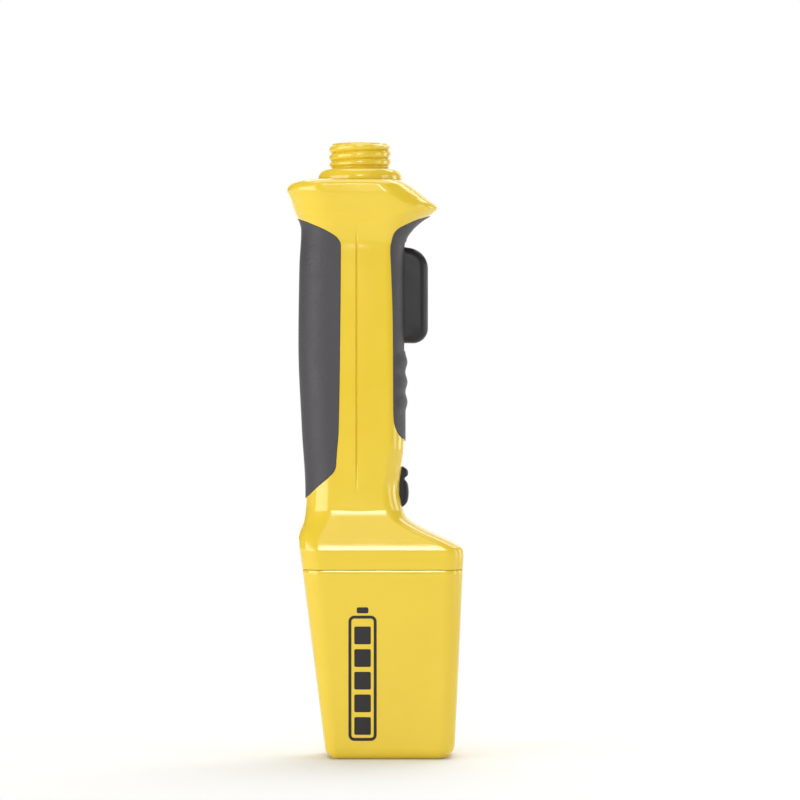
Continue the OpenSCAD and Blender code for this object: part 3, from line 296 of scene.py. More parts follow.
# %% Heights and reaches
case_low, case_high = box_mm("label_side_case")
seam_z = case_low[2]
roof_z = case_high[2]
skirt_z = seam_z + 10.5
shoulder_h = 18.0
waist_z = skirt_z + shoulder_h
handle_len = 135.5
flare_z = waist_z + handle_len
guard_h = roof_z - flare_z
seam_palm = 28.5
body_palm = 30.5
waist_palm = 27.0
grip_palm = 30.5
guard_palm = 36.5
seam_finger = 51.2
body_finger = 51.7
waist_finger = 19.6
grip_finger = 22.5
guard_finger = 39.0
body_half = 22.0
handle_half = 17.0
guard_half = -case_low[1]


def mix(a, b, share):
    """A value between a and b."""
    return a + (b - a) * share


def shoulder(share):
    """Height at a share of the shoulder, from the skirt up."""
    return skirt_z + share * shoulder_h


def handle(share):
    """Height at a share of the handle, from the waist up."""
    return waist_z + share * handle_len


def guard(share):
    """Height at a share of the guard, from its flare up."""
    return flare_z + share * guard_h


print("heights of seam, skirt, waist, flare and roof, mm:", seam_z, skirt_z, waist_z, flare_z, roof_z)

# %% [markdown]
# ## The housing's lines
# A hand fills the handle, so its palm side swells and its finger side is nearly straight. The shoulder
# has two creases, and the guard flares out over the hand and rounds off to the roof. Two more pairs
# of lines give the quarter ellipses that round the section, and the crown swells the face a little.

# %% Lines of the housing
palm_line = line(
    (seam_z, -seam_palm), (shoulder(0.1), -mix(seam_palm, body_palm, 0.85)), (shoulder(0.28), -body_palm),
    (shoulder(0.47), -mix(body_palm, waist_palm, 0.2)), (shoulder(0.75), -mix(body_palm, waist_palm, 0.72)),
    (handle(0.02), -mix(body_palm, waist_palm, 0.95)), (handle(0.07), -waist_palm),
    (handle(0.3), -mix(waist_palm, grip_palm, 0.5)), (handle(0.62), -grip_palm),
    (handle(0.9), -mix(waist_palm, grip_palm, 0.86)), (guard(0.16), -mix(waist_palm, grip_palm, 0.6)),
    (guard(0.29), -mix(grip_palm, guard_palm, -0.1)), (guard(0.42), -mix(grip_palm, guard_palm, 0.28)),
    (guard(0.66), -mix(grip_palm, guard_palm, 0.68)), (guard(0.84), -guard_palm),
    (guard(0.92), 1 - guard_palm), (guard(0.97), 3.2 - guard_palm), (roof_z, 7 - guard_palm))
finger_line = line(
    (seam_z, seam_finger), (shoulder(-0.15), body_finger - 0.1), (skirt_z, body_finger - 0.75),
    (shoulder(0.06), body_finger - 2.4), (shoulder(0.7), mix(waist_finger, body_finger, 0.22)),
    (shoulder(0.86), mix(waist_finger, body_finger, 0.11)),
    (handle(0.02), mix(waist_finger, body_finger, 0.043)), (handle(0.08), waist_finger),
    (handle(0.17), mix(waist_finger, grip_finger, 0.5)), (handle(0.26), grip_finger),
    (handle(0.94), grip_finger - 0.2), (flare_z, grip_finger + 0.5),
    (guard(0.17), mix(grip_finger, guard_finger, 0.22)), (guard(0.32), mix(grip_finger, guard_finger, 0.52)),
    (guard(0.44), mix(grip_finger, guard_finger, 0.85)), (guard(0.525), guard_finger),
    (guard(0.58), guard_finger - 1), (guard(0.66), guard_finger - 4.3), (guard(0.81), guard_finger - 10),
    (guard(0.92), guard_finger - 14.4), (roof_z, guard_finger - 18))
half_depth = line(
    (seam_z, body_half), (skirt_z - 1.4, body_half), (skirt_z + 0.5, body_half - 0.26),
    (waist_z - 0.5, handle_half + 0.26), (waist_z + 1.4, handle_half), (guard(-0.1), handle_half),
    (guard(0.2), mix(handle_half, guard_half, 0.2)), (guard(0.5), mix(handle_half, guard_half, 0.72)),
    (guard(0.78), guard_half), (guard(0.9), guard_half), (guard(0.965), guard_half - 1.2),
    (roof_z, guard_half - 3.2))
palm_round_x = line((skirt_z, 10), (waist_z, 14), (flare_z, 15), (guard(0.6), 20), (roof_z, 18))
palm_round_y = line(
    (skirt_z, 10), (waist_z, 16), (waist_z + 6, handle_half), (flare_z, handle_half), (roof_z, 21))
finger_round_x = line((skirt_z, 9), (waist_z, 9), (flare_z, 10), (guard(0.5), 20), (roof_z, 16))
finger_round_y = line((skirt_z, 9), (waist_z, 13), (flare_z, 13), (guard(0.5), 20), (roof_z, 19))
crown_line = line((waist_z, 0), (waist_z + 10, 0.4), (flare_z - 6, 0.4), (flare_z + 3, 0))
crown_x = -1.5
grip_z = handle(0.62)
print("handle at the palm's middle, mm:", np.round([palm_line(grip_z), finger_line(grip_z)], 2).tolist())

# %% [markdown]
# ## The section of a half
# A section of one half starts at the parting plane on the palm side, rounds a quarter ellipse, runs
# over the nearly flat face and rounds a second quarter ellipse to the finger side. A point on a
# rounding is found by its girth, the distance that a tape would read from the parting plane. Its
# normal is known there, so a skin can be lifted off the surface for the grips or sunk for a wall.

# %% Section of the housing
least_flat = 0.5


def rounding(z, side):
    """Sizes of one side's rounding by height: edge, radii, straight stretch and mean radius."""
    if side == "palm":
        edge, rx, ry = palm_line(z), palm_round_x(z), palm_round_y(z)
    else:
        edge, rx, ry = finger_line(z), finger_round_x(z), finger_round_y(z)
    ry = np.minimum(half_depth(z) - least_flat, ry)
    return edge, rx, ry, half_depth(z) - ry, (rx + ry) / 2


def crown(z, x):
    """Swell of the face: highest on the ridge line, falling to nothing where the roundings begin."""
    left = palm_line(z) + palm_round_x(z)
    right = finger_line(z) - finger_round_x(z)
    reach = np.where(x < crown_x, crown_x - left, right - crown_x)
    share = np.clip(np.abs(x - crown_x) / reach, 0, 1)
    return crown_line(z) * (1 - share ** 2) ** 2


def on_side(z, girth, lift, side):
    """Point at a girth from the parting plane: straight, then an ellipse by angle, then over the face."""
    edge, rx, ry, straight, mean = rounding(z, side)
    inwards = 1 if side == "palm" else -1
    angle = np.clip((girth - straight) / mean, 0, math.pi / 2)
    past = np.maximum(girth - straight - mean * math.pi / 2, 0)
    x = edge + inwards * (rx * (1 - np.cos(angle)) + past - lift * np.cos(angle))
    y = np.minimum(girth, straight) + (ry + lift) * np.sin(angle) + np.where(past > 0, crown(z, x), 0)
    return stack(x, -y, z)


print("girth of the palm side's rounding, mm:", round(float(rounding(grip_z, "palm")[4]) * math.pi / 2, 1))

# %% [markdown]
# ## Finding a place on the section
# An edge that was measured in side view, or a slot of a known width, has to be turned into a girth
# before a skin can end there. The ellipse gives it back by its sine or its cosine, so nothing has to
# be searched for.

# %% Places on the section
def girth_at_y(z, y, side):
    """Girth at which the surface is y from the parting plane, from the ellipse's sine."""
    _, _, ry, straight, mean = rounding(z, side)
    return np.where(y <= straight, y, straight + mean * np.arcsin(np.clip((y - straight) / ry, 0, 1)))


def girth_at_x(z, x, side):
    """Girth at which the surface stands at x in side view, from the ellipse's cosine."""
    edge, rx, _, straight, mean = rounding(z, side)
    across = np.maximum(x - edge if side == "palm" else edge - x, 0)
    angle = np.arccos(np.clip(1 - across / rx, 0, 1))
    return straight + mean * angle + np.maximum(across - rx, 0)


def face_y(x, z):
    """Surface of the label half over a place in side view: depth less both ellipses, plus the crown."""
    _, palm_rx, palm_ry, _, _ = rounding(z, "palm")
    _, finger_rx, finger_ry, _, _ = rounding(z, "finger")
    palm_share = np.clip(1 - (x - palm_line(z)) / palm_rx, 0, 1)
    finger_share = np.clip(1 - (finger_line(z) - x) / finger_rx, 0, 1)
    drop = palm_ry * (1 - np.sqrt(1 - palm_share ** 2)) + finger_ry * (1 - np.sqrt(1 - finger_share ** 2))
    return -(half_depth(z) - drop + crown(z, x))


print("half thickness over the ridge, mm:", round(float(-face_y(crown_x, grip_z)), 2))

# %% [markdown]
# ## Openings, joint and groove
# Window and pocket leave a small gap round the trigger and the slider, so their sizes come from those
# solids. At the parting plane two moulded halves always show a fine joint line, and a dip of the
# first and last columns makes it. A narrow moulded groove runs down the middle of the face and shows
# as a dark line.

# %% Openings, joint and groove
slide_fit = 0.35
trigger_high = box_mm("trigger")[1]
slider_low, slider_high = box_mm("safety_slider")
slider_travel = joints["safety_slide"]["range_m"][1] / mm
window = {"low": 202.5, "high": 257.0, "half": trigger_high[1] + slide_fit, "floor": 12.0}
pocket = {"low": slider_low[2] - 1, "high": slider_high[2] + slider_travel + 1,
          "half": slider_high[1] + slide_fit, "floor": 19.2}
lip_girth = np.array([0.0, 0.10, 0.22, 0.40])
lip_sink = np.array([0.45, 0.20, 0.05, 0.0])
groove = {"low": 132.0, "high": 265.0, "fade_in": 16.0, "fade_out": 13.0, "depth": 0.75, "half": 0.38}
groove_side = np.array([-1.4, -0.9, -0.64, -0.52, -0.45, -0.38, -0.31, -0.2, 0])
groove_steps = np.concatenate([groove_side, -groove_side[-2::-1]])
opening_y = np.array([window["half"], 6.9, pocket["half"], 4.6, 3.2, 1.8, 0.9])


def face_groove(z, x):
    """Depth of the line down the face: a flat bell about the ridge that fades in and out by height."""
    fade = np.clip((z - groove["low"]) / groove["fade_in"], 0, 1)
    fade = fade * np.clip((groove["high"] - z) / groove["fade_out"], 0, 1)
    return groove["depth"] * fade * np.exp(-((x - crown_x) / groove["half"]) ** 4)


print("window and pocket, mm:", window["high"] - window["low"], pocket["high"] - pocket["low"])

# %% [markdown]
# ## The skin of a half
# One grid makes a whole half. Each row is a section at one height, from the palm side over the face
# to the finger side. Columns stand close together at the groove, and rows where the skin turns
# sharply: at the shoulder's creases and round the guard.

# %% Skin of a half
def half_columns(z, lift, joint=1.0):
    """Section of a half at each height, palm side to finger side. joint scales the dip at both ends."""
    z = np.asarray(z, float)[:, None]
    lift = np.broadcast_to(np.asarray(lift, float), z.shape[:1])[:, None]
    joint = np.broadcast_to(np.asarray(joint, float), z.shape[:1])[:, None]
    palm_lip = on_side(z, lip_girth, lift - joint * lip_sink, "palm")
    _, _, _, straight, mean = rounding(z, "palm")
    palm = on_side(z, straight + mean * np.linspace(0, math.pi / 2, 30), lift, "palm")
    start = palm[:, -1:, 0]
    stop = finger_line(z) - finger_round_x(z)
    near = crown_x + groove_steps[0]
    far = crown_x + groove_steps[-1]
    x = np.concatenate([
        mix(start, near, np.linspace(0, 1, 20)[1:-1]),
        np.broadcast_to(crown_x + groove_steps, (len(z), len(groove_steps))),
        mix(far, stop, np.linspace(0, 1, 34)[1:-1])], axis=1)
    face = stack(x, -(half_depth(z) + crown(z, x) + lift - face_groove(z, x)), z)
    _, _, _, straight, mean = rounding(z, "finger")
    first = girth_at_y(z, window["half"], "finger")
    turn = np.linspace(1, 0, 24)[:-1]
    finger = on_side(z, mix(first, straight + mean * math.pi / 2, turn), lift, "finger")
    inner = on_side(z, girth_at_y(z, opening_y, "finger"), lift, "finger")
    finger_lip = on_side(z, lip_girth[::-1], lift - joint * lip_sink[::-1], "finger")
    return np.concatenate([palm_lip, palm, face, finger, inner, finger_lip], axis=1)


def runs(*stops):
    """Heights from stop to stop: each stop after the first is (height, number of steps to it)."""
    parts = [np.array([stops[0]], float)]
    for height, count in stops[1:]:
        parts.append(np.linspace(parts[-1][-1], height, count + 1)[1:])
    return np.concatenate(parts)


skin_sink = 0.02
outer_z = runs(
    seam_z + 0.1, (skirt_z - 3, 8), (skirt_z - 1.5, 5), (skirt_z + 0.9, 14), (skirt_z + 3.5, 8),
    (waist_z - 3.5, 12), (waist_z - 0.8, 5), (pocket["low"], 10), (waist_z + 3.5, 10),
    (pocket["high"], 26), (window["low"], 56), (window["high"], 58), (flare_z + 4, 8), (flare_z + 14, 16),
    (flare_z + 21, 14), (flare_z + 26, 10), (roof_z, 16))
outer = half_columns(outer_z, -skin_sink)
columns = outer.shape[1]
window_column = columns - len(lip_girth) - len(opening_y)
pocket_column = window_column + 2
print("grid of a half:", outer.shape[:2])

# %% [markdown]
# ## Rim, bulkhead and roof
# Inside the skirt a bulkhead closes the handle over the pack. The rows of the grid start there, come
# down the inner wall, turn round the rim at the seam and go on up the outside. Over the guard they
# close in to the round hole for the neck. One grid for all of it needs no welding at the edges.

# %% Rim, bulkhead and roof
case_wall = 2.6
rim_z = [seam_z + 13.35, seam_z + 0.3, seam_z, seam_z]
rim_lift = [-case_wall, -case_wall, 0.3 - case_wall, -0.12]
rim = half_columns(rim_z, rim_lift, [0, 0, 0, 1])
bulkhead = stack(np.linspace(rim[0, 0, 0], rim[0, -1, 0], columns), 0.0, rim[:1, :, 2])
hole_r = 15.1
roof_t = 4.5
top = outer[-1]
theta = np.arctan2(top[:, 1], top[:, 0] + 1e-9)
theta[-len(lip_girth):] = np.minimum(theta[-len(lip_girth):], 0)
hole = stack(hole_r * np.cos(theta), -np.abs(hole_r * np.sin(theta)), roof_z)
roof_share = np.array([0.12, 0.4, 0.7, 1.0])[:, None, None]
roof = mix(top, hole, roof_share)
roof[..., 2] = roof_z
stem = hole[None] - [0, 0, roof_t]
half_grid = np.concatenate([bulkhead, rim, outer, roof, stem])
first_row = len(bulkhead) + len(rim)
print("rows with rim, bulkhead and roof:", len(half_grid))

# %% [markdown]
# ## Window and pocket
# The trigger comes out through a window and the slider lies in a shallow pocket. Both have straight
# edges along grid lines, so their cells are left out and walls are added from the same edge points.
# A boolean cut would also do it, but it leaves long thin faces that shade badly.

# %% Openings in the half
def row_at(height):
    """Row of the half's grid that stands nearest to a height."""
    return first_row + int(np.argmin(np.abs(outer_z - height)))


def opening_edge(grid, low, high, column):
    """Points round an opening that ends at the last column: its low row, its column, its high row."""
    return np.concatenate([grid[low, :column:-1], grid[low:high + 1, column], grid[high, column + 1:]])


def wall_from(edge, foot_x, steps):
    """Wall from an edge to the same points at foot_x: each row goes a share of the way."""
    share = np.linspace(0, 1, steps)[:, None, None]
    foot = edge.copy()
    foot[:, 0] = foot_x
    return mix(edge, foot, share)


window_rows = row_at(window["low"]), row_at(window["high"])
pocket_rows = row_at(pocket["low"]), row_at(pocket["high"])
keep = np.ones((half_grid.shape[0] - 1, columns - 1), bool)
keep[slice(*window_rows), window_column:] = False
keep[slice(*pocket_rows), pocket_column:] = False
window_wall = wall_from(opening_edge(half_grid, *window_rows, window_column), window["floor"], 4)
pocket_wall = wall_from(opening_edge(half_grid, *pocket_rows, pocket_column), pocket["floor"], 3)
pocket_floor = half_grid[pocket_rows[0]:pocket_rows[1] + 1, pocket_column:].copy()
pocket_floor[..., 0] = pocket["floor"]
openings = [(window_wall, True, None), (pocket_wall, True, None), (pocket_floor, False, None)]
print("window wall points:", window_wall.shape[:2])

# %% [markdown]
# ## Screw holes
# The screw heads sit deep in round holes on the far side. There a block of cells is left out, and a
# few rings of points lead from its edge to a circle, so the hole is truly round on the curved skin.
# A small round at the mouth catches the light, as the edge of a moulded hole does.

# %% Screw holes
screw_spots = [(3.5, 252), (6, 190.5), (6, 153), (-27, 277), (25.5, 273), (-19, 114.5), (25.3, 112)]
screw_hole_r = 3.45
screw_seat = 7.0
block_margin = 0.7


def about_y(spot, radius, angle, y):
    """Points on circles about a spot in side view: the radius times the cosine and sine of the angle."""
    return stack(spot[0] + radius * np.cos(angle), y, spot[1] + radius * np.sin(angle))


def drill(grid, keep, spot, radius, seat):
    """Takes out a block of cells, leads rings from its edge to a circle, then goes down to the seat."""
    x0, z0 = spot
    outside = grid[first_row:first_row + len(outer_z)]
    near = np.hypot(outside[..., 0] - x0, outside[..., 2] - z0) < radius + block_margin
    near &= outside[..., 1] < seat - 2
    rows = np.flatnonzero(near.any(1)) + first_row
    across = np.flatnonzero(near.any(0))
    low, high = rows[0] - 1, rows[-1] + 1
    left, right = across[0] - 1, across[-1] + 1
    keep[low:high, left:right] = False
    edge = np.concatenate([
        grid[low, left:right], grid[low:high, right], grid[high, right:left:-1], grid[high:low:-1, left],
        grid[low:low + 1, left]])
    angle = np.arctan2(edge[:, 2] - z0, edge[:, 0] - x0)
    share = np.array([1 / 3, 2 / 3, 1])[:, None]
    x = mix(edge[:, 0], x0 + radius * np.cos(angle), share)
    z = mix(edge[:, 2], z0 + radius * np.sin(angle), share)
    skin = np.concatenate([edge[None], stack(x, face_y(x, z) + skin_sink, z)])
    mouth = skin[-1, :, 1]
    radii = (radius - 0.06, radius - 0.18, radius - 0.25, radius - 0.25, 0.0)
    depths = (mouth + 0.03, mouth + 0.12, mouth + 0.3, seat, seat)
    wall = [about_y(spot, r, angle, y) for r, y in zip(radii, depths)]
    return np.concatenate([skin, np.stack(wall)])


screw_grid = half_grid.copy()
screw_keep = keep.copy()
screw_walls = [
    (drill(screw_grid, screw_keep, spot, screw_hole_r, -screw_seat), False, None) for spot in screw_spots]
print("screw holes:", len(screw_walls))

# %% [markdown]
# ## The two halves
# The far half is the mirror image of the near one, with the screw holes in it. A mirrored grid is
# inside out, so its faces are turned round as well.

# %% The two halves
skin_wall = 1.0
label_half = [(half_grid, False, keep)] + openings
screw_half = mirrored([(screw_grid, False, screw_keep)] + openings + screw_walls)
for side, sheets in (("label", label_half), ("screw", screw_half)):
    make_piece(f"housing_{side}_half", sheets, abs_yellow, "handle", [f"{side}_side_case"],
               wall=skin_wall)

# %% [markdown]
# ## Soft grips
# The rubber is moulded into a recess and stands a little proud. Each grip is a leaf of the housing's
# own skin, lifted by its height over the plastic. Towards its edge the lift falls on a quarter circle
# and ends just under the yellow, which draws the crisp dark outline of an overmoulding. Rows and
# columns crowd together at the edge and at the round tips, where the skin turns most.

# %% Grip helpers
proud = 0.30
edge_round = 0.8
tip_length = 2.5
tip_rows = 3 * (1 - np.cos(np.linspace(0, math.pi / 2, 12)))
near_edge = np.array([0, 0.02, 0.06, 0.12, 0.2, 0.3, 0.42, 0.56, 0.72, 0.95, 1.4, 2.2])
joint_depth = 0.32
joint_half = 0.17


def grip_outline(z, edge, side):
    """Girth of the grip's edge by height: from its line in side view, closed by round tips at both ends."""
    girth = girth_at_x(z, edge(z), side)
    from_end = np.minimum(z - z[0], z[-1] - z)
    tip = np.clip(from_end / tip_length, 0, 1)
    return girth * np.sqrt(1 - (1 - tip) ** 2)


def edge_lift(z, girth, outline):
    """Lift of the rubber: full inside, a quarter circle down to half a millimetre under at the edge."""
    slope = np.gradient(outline[:, 0], z[:, 0])[:, None]
    away = (outline - girth) / np.sqrt(1 + slope ** 2)
    share = np.clip(1 - away / edge_round, 0, 1)
    return proud - edge_round * (1 - np.sqrt(1 - share ** 2))


def steps_to_edge(start, outline, count):
    """Girths from a start to the edge: even at first, then the close steps that round the edge."""
    span = outline - start
    last = np.minimum(near_edge[::-1], 0.5 * span * near_edge[::-1] / near_edge[-1])
    even = np.linspace(0, 1, count)
    return np.concatenate([mix(start, outline - last[:, :1], even[:-1]), outline - last], axis=1)


def joint_groove(girth):
    """Depth of the fine line where the two halves of a grip meet: a bell about the parting plane."""
    return joint_depth * np.exp(-(girth / joint_half) ** 2)


print("grip proud of the housing, mm:", proud)

# %% [markdown]
# ## Palm grips
# The palm grip covers the rounded back of the handle. Its edge runs down the face, swings in to the
# shoulder below and follows the guard's flare above. The edge is a line of x by height, read in side
# view. A tape of steps runs from the parting plane to that edge in every row.

# %% Palm grips
palm_edge = line(
    (128.5, -27), (133, -22.6), (139.5, -15.2), (142, -12.7), (145, -11.5), (150, -11.2), (163, -10.2),
    (203, -9.5), (255, -9.1), (258.5, -10.9), (262, -16.15), (267, -27), (268.9, -30.5))
palm_low = 128.6
palm_high = 268.8
grip_wall = 0.4
middle_rows = np.linspace(palm_low + tip_rows[-1], palm_high - tip_rows[-1], 130)[1:-1]
palm_z = np.concatenate([palm_low + tip_rows, middle_rows, palm_high - tip_rows[::-1]])[:, None]
palm_girth = grip_outline(palm_z, palm_edge, "palm")
beside_joint = 0.5 * np.minimum(palm_girth, 1)
joint_steps = np.array([0, 0.15, 0.35, 0.65]) * beside_joint
steps = np.concatenate([joint_steps, steps_to_edge(beside_joint, palm_girth, 22)], axis=1)
lift = edge_lift(palm_z, steps, palm_girth) - joint_groove(steps)
palm_half = [(on_side(palm_z, steps, lift, "palm"), False, None)]
for side, sheets in (("label", palm_half), ("screw", mirrored(palm_half))):
    make_piece(f"palm_grip_{side}_half", sheets, tpe_grey, "handle", [f"{side}_side_palm_grip"],
               wall=grip_wall)

# %% [markdown]
# ## Outline of the finger grips
# The finger grip goes round the trigger's window. So its rows include the window's two ends, and one
# of its columns follows the window's side, a hair inside the plastic's edge.

# %% Outline of the finger grips
finger_edge = line(
    (157, 22.5), (162, 18.5), (167.5, 16.8), (172.5, 16.5), (213, 16.3), (243, 15.4), (253, 15),
    (257, 15.7), (260, 16.6), (262.5, 18.6), (266.5, 25.9), (270.5, 35.8))
finger_low = 157.2
finger_high = 270.2
finger_z = np.concatenate([
    finger_low + tip_rows,
    runs(finger_low + tip_rows[-1], (170, 12), (window["low"] - 0.7, 70))[1:],
    window["low"] - np.array([0.5, 0.25, 0.1, 0]),
    runs(window["low"], (window["high"], 58))[1:],
    window["high"] + np.array([0.1, 0.25, 0.5, 0.8]),
    runs(window["high"] + 1.2, (finger_high - tip_rows[-1], 16))[:-1],
    finger_high - tip_rows[::-1]])[:, None]
finger_girth = grip_outline(finger_z, finger_edge, "finger")
window_girth = np.minimum(girth_at_y(finger_z, window["half"] - 0.05, "finger"), 0.5 * finger_girth)
inner_steps = np.array([0, 0.01, 0.022, 0.04, 0.1, 0.25, 0.5, 0.75, 0.93, 0.97]) * window_girth
steps = np.concatenate([inner_steps, steps_to_edge(window_girth, finger_girth, 16)], axis=1)
print("finger grip's grid:", steps.shape)

# %% [markdown]
# ## Ribs and window of the finger grips
# Three soft ribs below the trigger keep the fingers from slipping. A squared cosine of the height
# makes them, and a smooth step lets them fade out before the grip's edge. Round the window the rubber
# sinks a little, and a short wall leads from its edge into the housing.

# %% Finger grips
ribs_z = 187.0
rib_pitch = 10.0
rib_margin = 0.6
rib_fade = 5.0
window_round = 0.6
window_sink = 0.35
rubber_depth = 2.0


def ease(t):
    """Smooth step from nought to one."""
    t = np.clip(t, 0, 1)
    return t * t * (3 - 2 * t)


wave = np.cos(math.pi * (finger_z - ribs_z) / rib_pitch) ** 2
wave = np.where(np.abs(finger_z - ribs_z) < 1.5 * rib_pitch, wave, 0)
lift = edge_lift(finger_z, steps, finger_girth)
lift += wave * ease((finger_girth - steps - rib_margin) / rib_fade)
beside = np.maximum(steps - window_girth, 0)
beyond = np.maximum(np.maximum(window["low"] - finger_z, finger_z - window["high"]), 0)
close = np.clip(1 - np.hypot(beside, beyond) / window_round, 0, 1)
lift -= window_sink * close ** 2
lift -= joint_groove(steps)
finger_skin = on_side(finger_z, steps, lift, "finger")[:, ::-1]
edge_column = finger_skin.shape[1] - 1 - inner_steps.shape[1]
low_row = int(np.argmin(np.abs(finger_z - window["low"])))
high_row = int(np.argmin(np.abs(finger_z - window["high"])))
finger_keep = np.ones((finger_skin.shape[0] - 1, finger_skin.shape[1] - 1), bool)
finger_keep[low_row:high_row, edge_column:] = False
rubber_edge = opening_edge(finger_skin, low_row, high_row, edge_column)
rubber_wall = wall_from(rubber_edge, rubber_edge[:, 0] - rubber_depth, 3)
finger_half = [(finger_skin, False, finger_keep), (rubber_wall, True, None)]
for side, sheets in (("label", finger_half), ("screw", mirrored(finger_half))):
    make_piece(f"finger_grip_{side}_half", sheets, tpe_grey, "handle", [f"{side}_side_finger_grip"],
               wall=grip_wall)

# %% [markdown]
# ## Threaded neck
# The shaft's coupling nut screws onto a coarse thread. A revolved profile alone would only give rings,
# so here the radius depends on the angle as well: the height at which a crest stands climbs by one
# pitch in each turn. The crests are round and the grooves between them narrow. The thread fades in
# over the collar and out at the top, as a moulded thread does.

# %% Neck
neck_top = box_mm("threaded_neck")[1, 2]
neck_foot = roof_z - 6.5
collar_z = roof_z + 5.5
collar_r = 20.98
stem_r = 15.0
socket_r = 10.5
bore_r = 8.5
pitch = 4.0
root_r = 14.2
thread_depth = 1.28
crest_z = collar_z + 2.9
neck_angle = np.linspace(0, 2 * math.pi, 145)[None, :]


def about_neck(radius, z):
    """Points on circles about the neck's axis: the radius times the cosine and sine of the angle."""
    return stack(radius * np.cos(neck_angle), radius * np.sin(neck_angle), z)


thread_z = np.linspace(collar_z + 0.5, neck_top - 0.8, 130)[:, None]
turn = (thread_z - crest_z) / pitch - (neck_angle + math.pi / 2) / (2 * math.pi)
beside_crest = np.abs(turn - np.round(turn)) * pitch
height = 1 - (beside_crest / (pitch / 2)) ** 3
height *= np.clip((thread_z - collar_z - 0.7) / 1.3, 0, 1) * np.clip((neck_top - 0.7 - thread_z) / 0.9, 0, 1)
thread = about_neck(root_r + thread_depth * height, thread_z)
rise = np.radians(np.linspace(0, 80, 14))
collar_round = np.stack([collar_r - 3.6 * (1 - np.cos(rise)), roof_z + 1.2 + 4.25 * np.sin(rise)], -1)
# Points of (radius, height): up the outside, and down into the socket
below_collar = [
    (stem_r, neck_foot), (stem_r, roof_z + 0.05), (collar_r - 0.38, roof_z + 0.05),
    (collar_r - 0.08, roof_z + 0.25)]
thread_foot = [
    (root_r + 2.8, collar_z), (root_r + 1.8, collar_z), (root_r + 1, collar_z + 0.05),
    (root_r + 0.4, collar_z + 0.2), (root_r + 0.1, collar_z + 0.4)]
lip = [
    (root_r - 0.05, neck_top - 0.55), (root_r - 0.2, neck_top - 0.3), (root_r - 0.45, neck_top - 0.1),
    (root_r - 0.75, neck_top - 0.02), (socket_r + 0.7, neck_top - 0.02), (socket_r + 0.35, neck_top - 0.15),
    (socket_r + 0.1, neck_top - 0.4), (socket_r, neck_top - 0.7)]
socket = [
    (socket_r, roof_z - 0.2), (socket_r - 0.2, roof_z - 0.5), (bore_r, roof_z - 0.5), (bore_r, neck_foot),
    (stem_r, neck_foot)]
lower = np.array([*below_collar, *collar_round, *thread_foot]).T[:, :, None]
upper = np.array(lip + socket).T[:, :, None]
neck = np.concatenate([about_neck(*lower), thread, about_neck(*upper)])
make_piece("threaded_neck_moulding", [(neck, False, None)], abs_yellow, "handle", ["threaded_neck"],
           sharp=50)

# %% [markdown]
# ## Battery pack
# The tub is a plain lofted box that tapers to its foot. Its lower edge is a generous round, worked out
# as a quarter circle in height and inset. At the top a small round and the rim's inner edge make the
# thin dark seam to the handle. The grid goes all round and its last column meets the first.

# %% Tub
base_palm = -16.5
base_finger = 47.5
base_half = 20.5
base_edge = 6.0
tub_palm = line((0, base_palm), (seam_z, -seam_palm))
tub_finger = line(
    (0, base_finger - 2), (base_edge, base_finger - 0.4), (2 * base_edge, base_finger), (seam_z, seam_finger))
tub_depth = line((0, base_half), (seam_z, body_half))
tub_palm_round = line((0, 6), (seam_z, 10))
tub_finger_round = line((0, 8), (seam_z, 9))
least_round = 2.0


def tub_ring(z, inset):
    """Section of the tub: flats and quarter circles, all round, moved inwards by the inset."""
    z = z[:, None]
    inset = inset[:, None]
    left = tub_palm(z) + inset
    right = tub_finger(z) - inset
    deep = tub_depth(z) - inset
    palm_r = np.maximum(least_round, tub_palm_round(z) - inset)
    finger_r = np.maximum(least_round, tub_finger_round(z) - inset)
    bend = np.linspace(0, math.pi / 2, 16)
    flat = np.linspace(0, 1, 30)[1:-1]
    side = np.linspace(0, 1, 6)
    palm_flat = stack(left, -(deep - palm_r) * side[:-1], z)
    palm = stack(left + palm_r * (1 - np.cos(bend)), -(deep - palm_r + palm_r * np.sin(bend)), z)
    face = stack(mix(left + palm_r, right - finger_r, flat), -deep, z)
    finger = stack(right - finger_r * (1 - np.sin(bend)), -(deep - finger_r + finger_r * np.cos(bend)), z)
    finger_flat = stack(right, -(deep - finger_r) * (1 - side[1:]), z)
    half = np.concatenate([palm_flat, palm, face, finger, finger_flat], axis=1)
    return np.concatenate([half, half[:, -2::-1] * [1, -1, 1]], axis=1)


tub_sink = 0.01
curl = np.radians(np.linspace(0, 90, 16))
# Points of (height, inset): from the recess in the foot up the outside, and down the inside
foot = [(1.4, 9.0), (1.4, 7.5), (0.1, 7.5), (0.0, 7.4)]
foot_round = base_edge * np.stack([1 - np.cos(curl), 1 - np.sin(curl)], -1)
side_z = np.linspace(base_edge, seam_z - 0.35, 46)[1:]
sides = np.stack([side_z, np.zeros_like(side_z)], -1)
tub_rim = [(seam_z - 0.26, 0.04), (seam_z - 0.24, 0.14), (seam_z - 0.24, 2.3), (seam_z - 0.6, 2.6)]
tub_inside = [(84, 2.6), (3.0, 5.0), (3.0, 9.0), (1.4, 9.0)]
tub_profile = np.array([*foot, *foot_round, *sides, *tub_rim, *tub_inside])
tub = tub_ring(tub_profile[:, 0], tub_profile[:, 1] + tub_sink)
make_piece("battery_tub", [(tub, False, None)], abs_yellow, "battery_pack", ["pack_tub"])

# %% [markdown]
# ## Charge mark
# A plain battery gauge is printed on the tub's face: an outline with five bars. Each shape is a
# rounded rectangle, so one function gives its closed edge. Rings that shrink to the middle fill a bar,
# and two edges make the outline. The ink lies a few hundredths of a millimetre over the plastic.

# %% Charge mark
ink_lift = 0.03
ink_film = 0.02
